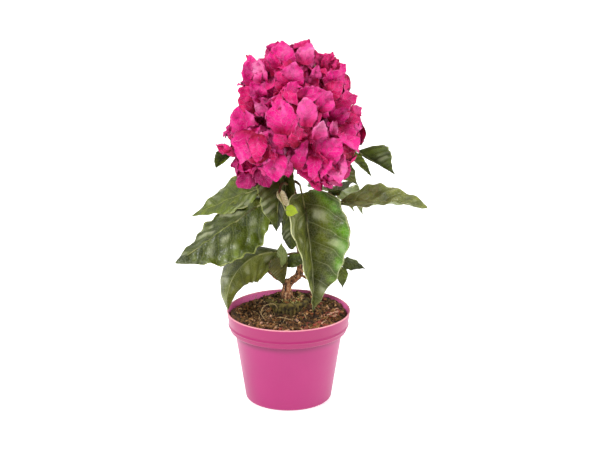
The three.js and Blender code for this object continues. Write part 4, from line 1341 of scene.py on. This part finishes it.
def skinBlades(rng):
    # Bracts that lie on the heads all round, under the large ones and over the flowers: directions spread
    # evenly, less those inside another head or towards the crown's middle, each bract tilted at random
    draw = stream(bloom["seed"] + 1)
    made = []
    for name, centre, radius, seed in heads + [core]:
        centre = np.array(centre, float)
        for i in range(bloom["skin"]):
            out = evenDirection(i, bloom["skin"], 40 * seed)
            point = centre + out * (radius - between(draw, bloom["skinDepth"]))
            inward = name != "core" and out @ unit(centre - crown) < bloom["skinInward"]
            if fromOthers(name, point) < bloom["skinBuried"] or inward:
                continue
            facing = unit(out + bloom["skinTilt"] * np.clip(rng.normal(size=3), -1, 1))
            length = between(draw, bloom["skinLength"])
            width = length * (0.8 + 0.22 * rng.random())
            bract = laidBract(draw, point, facing, rng.normal(size=3), length, width, toneOf(name, rng))
            share = bractShare(bract, bract["base"], facing, length, width)
            made.append({**bract, "length": length * share, "width": width * share, "flat": True})
    return made


def buildCrown():
    # Bracts in three groups, each with a grid of its own: the front ones, the skin and the flowers'
    blooms = crownBlooms()
    rng = np.random.default_rng(bloom["seed"])
    blades, tubesOf, stalks = [], [], []

    def add(bract, **own):
        # Bracts of the skin bend round their head, the others are cupped
        sunk = bloom["skinSunk"] if bract.get("flat") else 0
        crumple = bract.get("crumple", 1)
        blade = {**bract, **own}
        for key, spread in bractVary.items():
            isEven = isinstance(spread, tuple)
            blade[key] = spread[0] + spread[1] * rng.random() if isEven else spread * rng.normal()
        blade["cup"] -= sunk
        blade["fold"] -= 40 * sunk
        blade["ruffle"] *= crumple
        blades.append({**blade, **{key: height * crumple for key, height in bractRelief.items()}})

    front, skin = frontBlades(), skinBlades(rng)
    for bract in front + skin:
        add(bract)
    for each in blooms:
        facing = each["facing"]
        seen = smooth(-facing[1], 0.1, 0.6)
        size = each["size"] * (1 - (1 - bloom["sunk"]) * seen)
        place = each["mouth"] - facing * (each["depth"] + bloom["deeper"] * seen)
        tone = toneOf(each["name"], rng)
        stalks.append([each["centre"], each["centre"] * 0.45 + place * 0.55 - up * 0.8, place])
        for bract in each["bracts"]:
            length = bract["length"] * size * bloom["size"] * (0.94 + 0.14 * rng.random())
            width = length * (0.84 + 0.2 * rng.random())
            share = bractShare(bract, place, facing, length, width)
            own = tone if rng.random() < 0.8 else rng.choice(4)
            add(bract, axis=facing, base=place, length=length * share, width=width * share, tone=own)
            tubesOf.append((place, unit(facing + 0.28 * bract["out"]), size))
    paints = [bractPaint(f"bract{k}", tones) for k, tones in enumerate(bractTones)]
    ends = [0, len(front), len(front) + len(skin), len(blades)]
    cells = math.ceil(math.sqrt(2 * max(ends[2], ends[3] - ends[2])))
    shapes = []
    for first, last, (rows, columns) in zip(ends, ends[1:], bloom["grids"]):
        group = blades[first:last]
        slots = [[blade["tone"], blade["tone"]] for blade in group]
        cell = 2 * first if last <= ends[2] else 0
        shapes.append(bladeShells(group, bractForm, rows, columns, slots, cell, cells))
    piece = addPiece("bractBlades", shapes[:2], paints)
    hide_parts(*[name for name, *_ in heads])
    piece = addPiece("flowerBracts", shapes[2:], paints)
    buildFlowers(rng, tubesOf)
    print(len(blooms), "flowers,", len(blades), "bracts")
    return stalks


flower = {
    "share": 0.75, "open": 0.12, "least": 13, "spread": 5, "steps": 9, "sides": 10,
    # Places along the tube, and the radius there of a bud and of an open flower
    "bud": [[0, 0.2, 0.5, 0.8, 0.95, 1], [0.7, 1.1, 1.0, 1.5, 1.2, 0.4]],
    "star": [[0, 0.2, 0.5, 0.85, 0.96, 1], [0.7, 1.1, 0.9, 1.2, 2.0, 2.7]],
    "tones": {"Tube": (196, 48, 84), "Neck": (206, 116, 84), "Star": (240, 224, 168)},
}


def buildFlowers(rng, places):
    # A flower is a tube with five ribs in front of its bract. One in eight is open: its mouth flares into a
    # star of five points.
    steps, sides = flower["steps"], flower["sides"]
    angle = np.arange(sides) * 2 * np.pi / sides
    t = np.linspace(0, 1, steps)
    chosen = [each for each in places if rng.random() < flower["share"]]
    foot, along, size = (np.array(part) for part in zip(*chosen))
    isOpen = rng.random(len(chosen)) < flower["open"]
    length = (flower["least"] + flower["spread"] * rng.random(len(chosen))) * size
    paths = foot[:, None] + along[:, None] * (length[:, None] * t)[..., None]
    radii = np.where(isOpen[:, None], np.interp(t, *flower["star"]), np.interp(t, *flower["bud"]))
    ribs = 1 + 0.14 * np.cos(5 * angle) + 0 * t[:, None]
    points = 1 + (0.14 + 0.24 * smooth(t, 0.8, 1))[:, None] * np.cos(5 * angle)
    lobes = np.where(isOpen[:, None, None], points, ribs)
    made = tubes(paths, radii * size[:, None], sides, lobes=lobes)
    row = np.tile(np.repeat(np.arange(steps + 1), sides), len(chosen))
    openFace = np.repeat(isOpen, (steps + 1) * sides)
    made["slots"] = np.where(openFace & (row >= steps - 1), 2, np.where(row >= steps - 3, 1, 0))
    paints = [plainPaint("flower" + name, tone, 0.6, 0.0001) for name, tone in flower["tones"].items()]
    piece = addPiece("flowerTubes", [made], paints)


# Twigs: stems of the shoots and of the heads, stalks of the leaves and flowers, and the leaves' midribs

twig = {
    "foot": 1.5, "tip": 1.1, "headTip": 1, "sag": 2, "rise": 0.5, "stalk": 0.5, "midrib": 0.011,
    "flowerFoot": 0.9, "flowerTip": 0.7, "knobs": 0.16,
    # Name, colour, roughness and grain of the twigs, the leaves' stalks and the flowers' stalks
    "paints": [
        ("twigBrown", (116, 92, 56), 0.8, 0.0004), ("stalkGreen", (142, 142, 84), 0.55, 0.0001),
        ("stalkRed", (128, 40, 62), 0.6, 0.0001),
    ],
}


def leaderAt(height):
    # The point of the leader nearest to a height
    path = smoothRoute(limbs["leader"]["route"], 300)
    return path[np.abs(path[:, 2] - height).argmin()]


def buildTwigs(leafStalks, flowerStalks):
    # A twig is a tube along a smooth route, whose radius falls evenly and is roughened by noise. The stem of
    # a head leaves the leader lower, the further out the head stands. A midrib is sunk under its leaf.
    shapes = []

    def add(routes, foot, tip, sides, steps, slot):
        paths = np.array([smoothRoute(route, steps) for route in routes])
        size = foot + (tip - foot) * np.linspace(0, 1, steps)
        shapes.append(tubes(paths, size * (1 + twig["knobs"] * noise(paths, 3, 2)), sides, slots=slot))

    add([shoot["stem"] for shoot in shoots + sprigs], twig["foot"], twig["tip"], 10, 30, 0)
    hubs = []
    for _, centre, _, _ in heads:
        centre = np.array(centre, float)
        foot = leaderAt(centre[2] - twig["rise"] * np.hypot(*(centre - crown)[:2]))
        hubs.append([foot, (foot + centre) / 2 - up * twig["sag"], centre])
    add(hubs, twig["foot"], twig["headTip"], 10, 30, 0)
    for route, blade in leafStalks:
        thick = twig["stalk"] * (1 + min(1, blade["length"] / 60))
        add([route], thick * 1.1, thick * 0.8, 8, 16, 1)
    for _, blade in leafStalks:
        u = np.linspace(0.02, 0.9, 18)[None]
        middle, _, _, normal = midribAt([blade], u)
        size = twig["midrib"] * blade["length"] * (1 - 0.85 * u)
        sunk = middle - normal * (size * 0.75 + 1.3 * blade["quilt"] * np.sin(np.pi * u) ** 0.5)[..., None]
        shapes.append(tubes(sunk, size, 6, slots=1))
    add(flowerStalks, twig["flowerFoot"], twig["flowerTip"], 6, 10, 2)
    piece = addPiece("twigs", shapes, [plainPaint(*each) for each in twig["paints"]])


leafStalks = buildLeaves()
flowerStalks = buildCrown()
buildTwigs(leafStalks, flowerStalks)
print("crown done")


# Floor, light and camera

studio = {
    # Half the floor's size, its tone and glow, the sky's strength, and the point at which the lights aim
    "floor": 6, "floorTone": 0.9, "glow": 0.5, "sky": 0.6, "aim": (0, 0, 0.2),
    # Place and size in metres, power in watts
    "lights": [
        {"name": "key", "place": (-1.2, -1.1, 1.8), "size": 0.8, "power": 42},
        {"name": "side", "place": (1.75, -0.2, 0.95), "size": 0.7, "power": 17},
        {"name": "top", "place": (0.25, 0.3, 2.1), "size": 0.9, "power": 22},
    ],
}


def addThing(name, data):
    # The floor, a lamp or the camera as an object of the scene
    thing = bpy.data.objects.new(name, data)
    bpy.context.scene.collection.objects.link(thing)
    return thing


def buildStage():
    # A pale floor that glows a little, square lights that all aim at one point, a white sky and the camera
    far, tone = studio["floor"], studio["floorTone"]
    floor = bpy.data.meshes.new("floor")
    floor.from_pydata([(-far, -far, 0), (far, -far, 0), (far, far, 0), (-far, far, 0)], [], [(0, 1, 2, 3)])
    glow = {"Base Color": (tone, tone, tone, 1), "Emission Color": (1, 1, 1, 1)}
    paint = Paint("floorPale", 0.9, **glow, **{"Emission Strength": studio["glow"]})
    floor.materials.append(paint.material)
    thing = addThing("floor", floor)
    for each in studio["lights"]:
        lamp = bpy.data.lights.new(each["name"], "AREA")
        lamp.energy = each["power"]
        lamp.size = each["size"]
        holder = addThing(each["name"], lamp)
        holder.location = each["place"]
        x, y, z = np.array(studio["aim"]) - np.array(each["place"])
        holder.rotation_euler = (math.atan2(math.hypot(x, y), -z), 0, math.atan2(-x, y))
    world = bpy.data.worlds.new("studio")
    world.use_nodes = True
    world.node_tree.nodes["Background"].inputs["Color"].default_value = (1, 1, 1, 1)
    world.node_tree.nodes["Background"].inputs["Strength"].default_value = studio["sky"]
    bpy.context.scene.world = world
    bpy.context.scene.view_settings.view_transform = "Standard"
    lens = bpy.data.cameras.new("camera")
    lens.sensor_width = view["sensor"]
    lens.lens = view["focal"] / view["width"] * view["sensor"]
    camera = addThing("camera", lens)
    camera.location = view["place"]
    camera.rotation_euler = (math.radians(90 - view["pitch"]), 0, 0)
    bpy.context.scene.camera = camera


buildStage()
print("stage done")
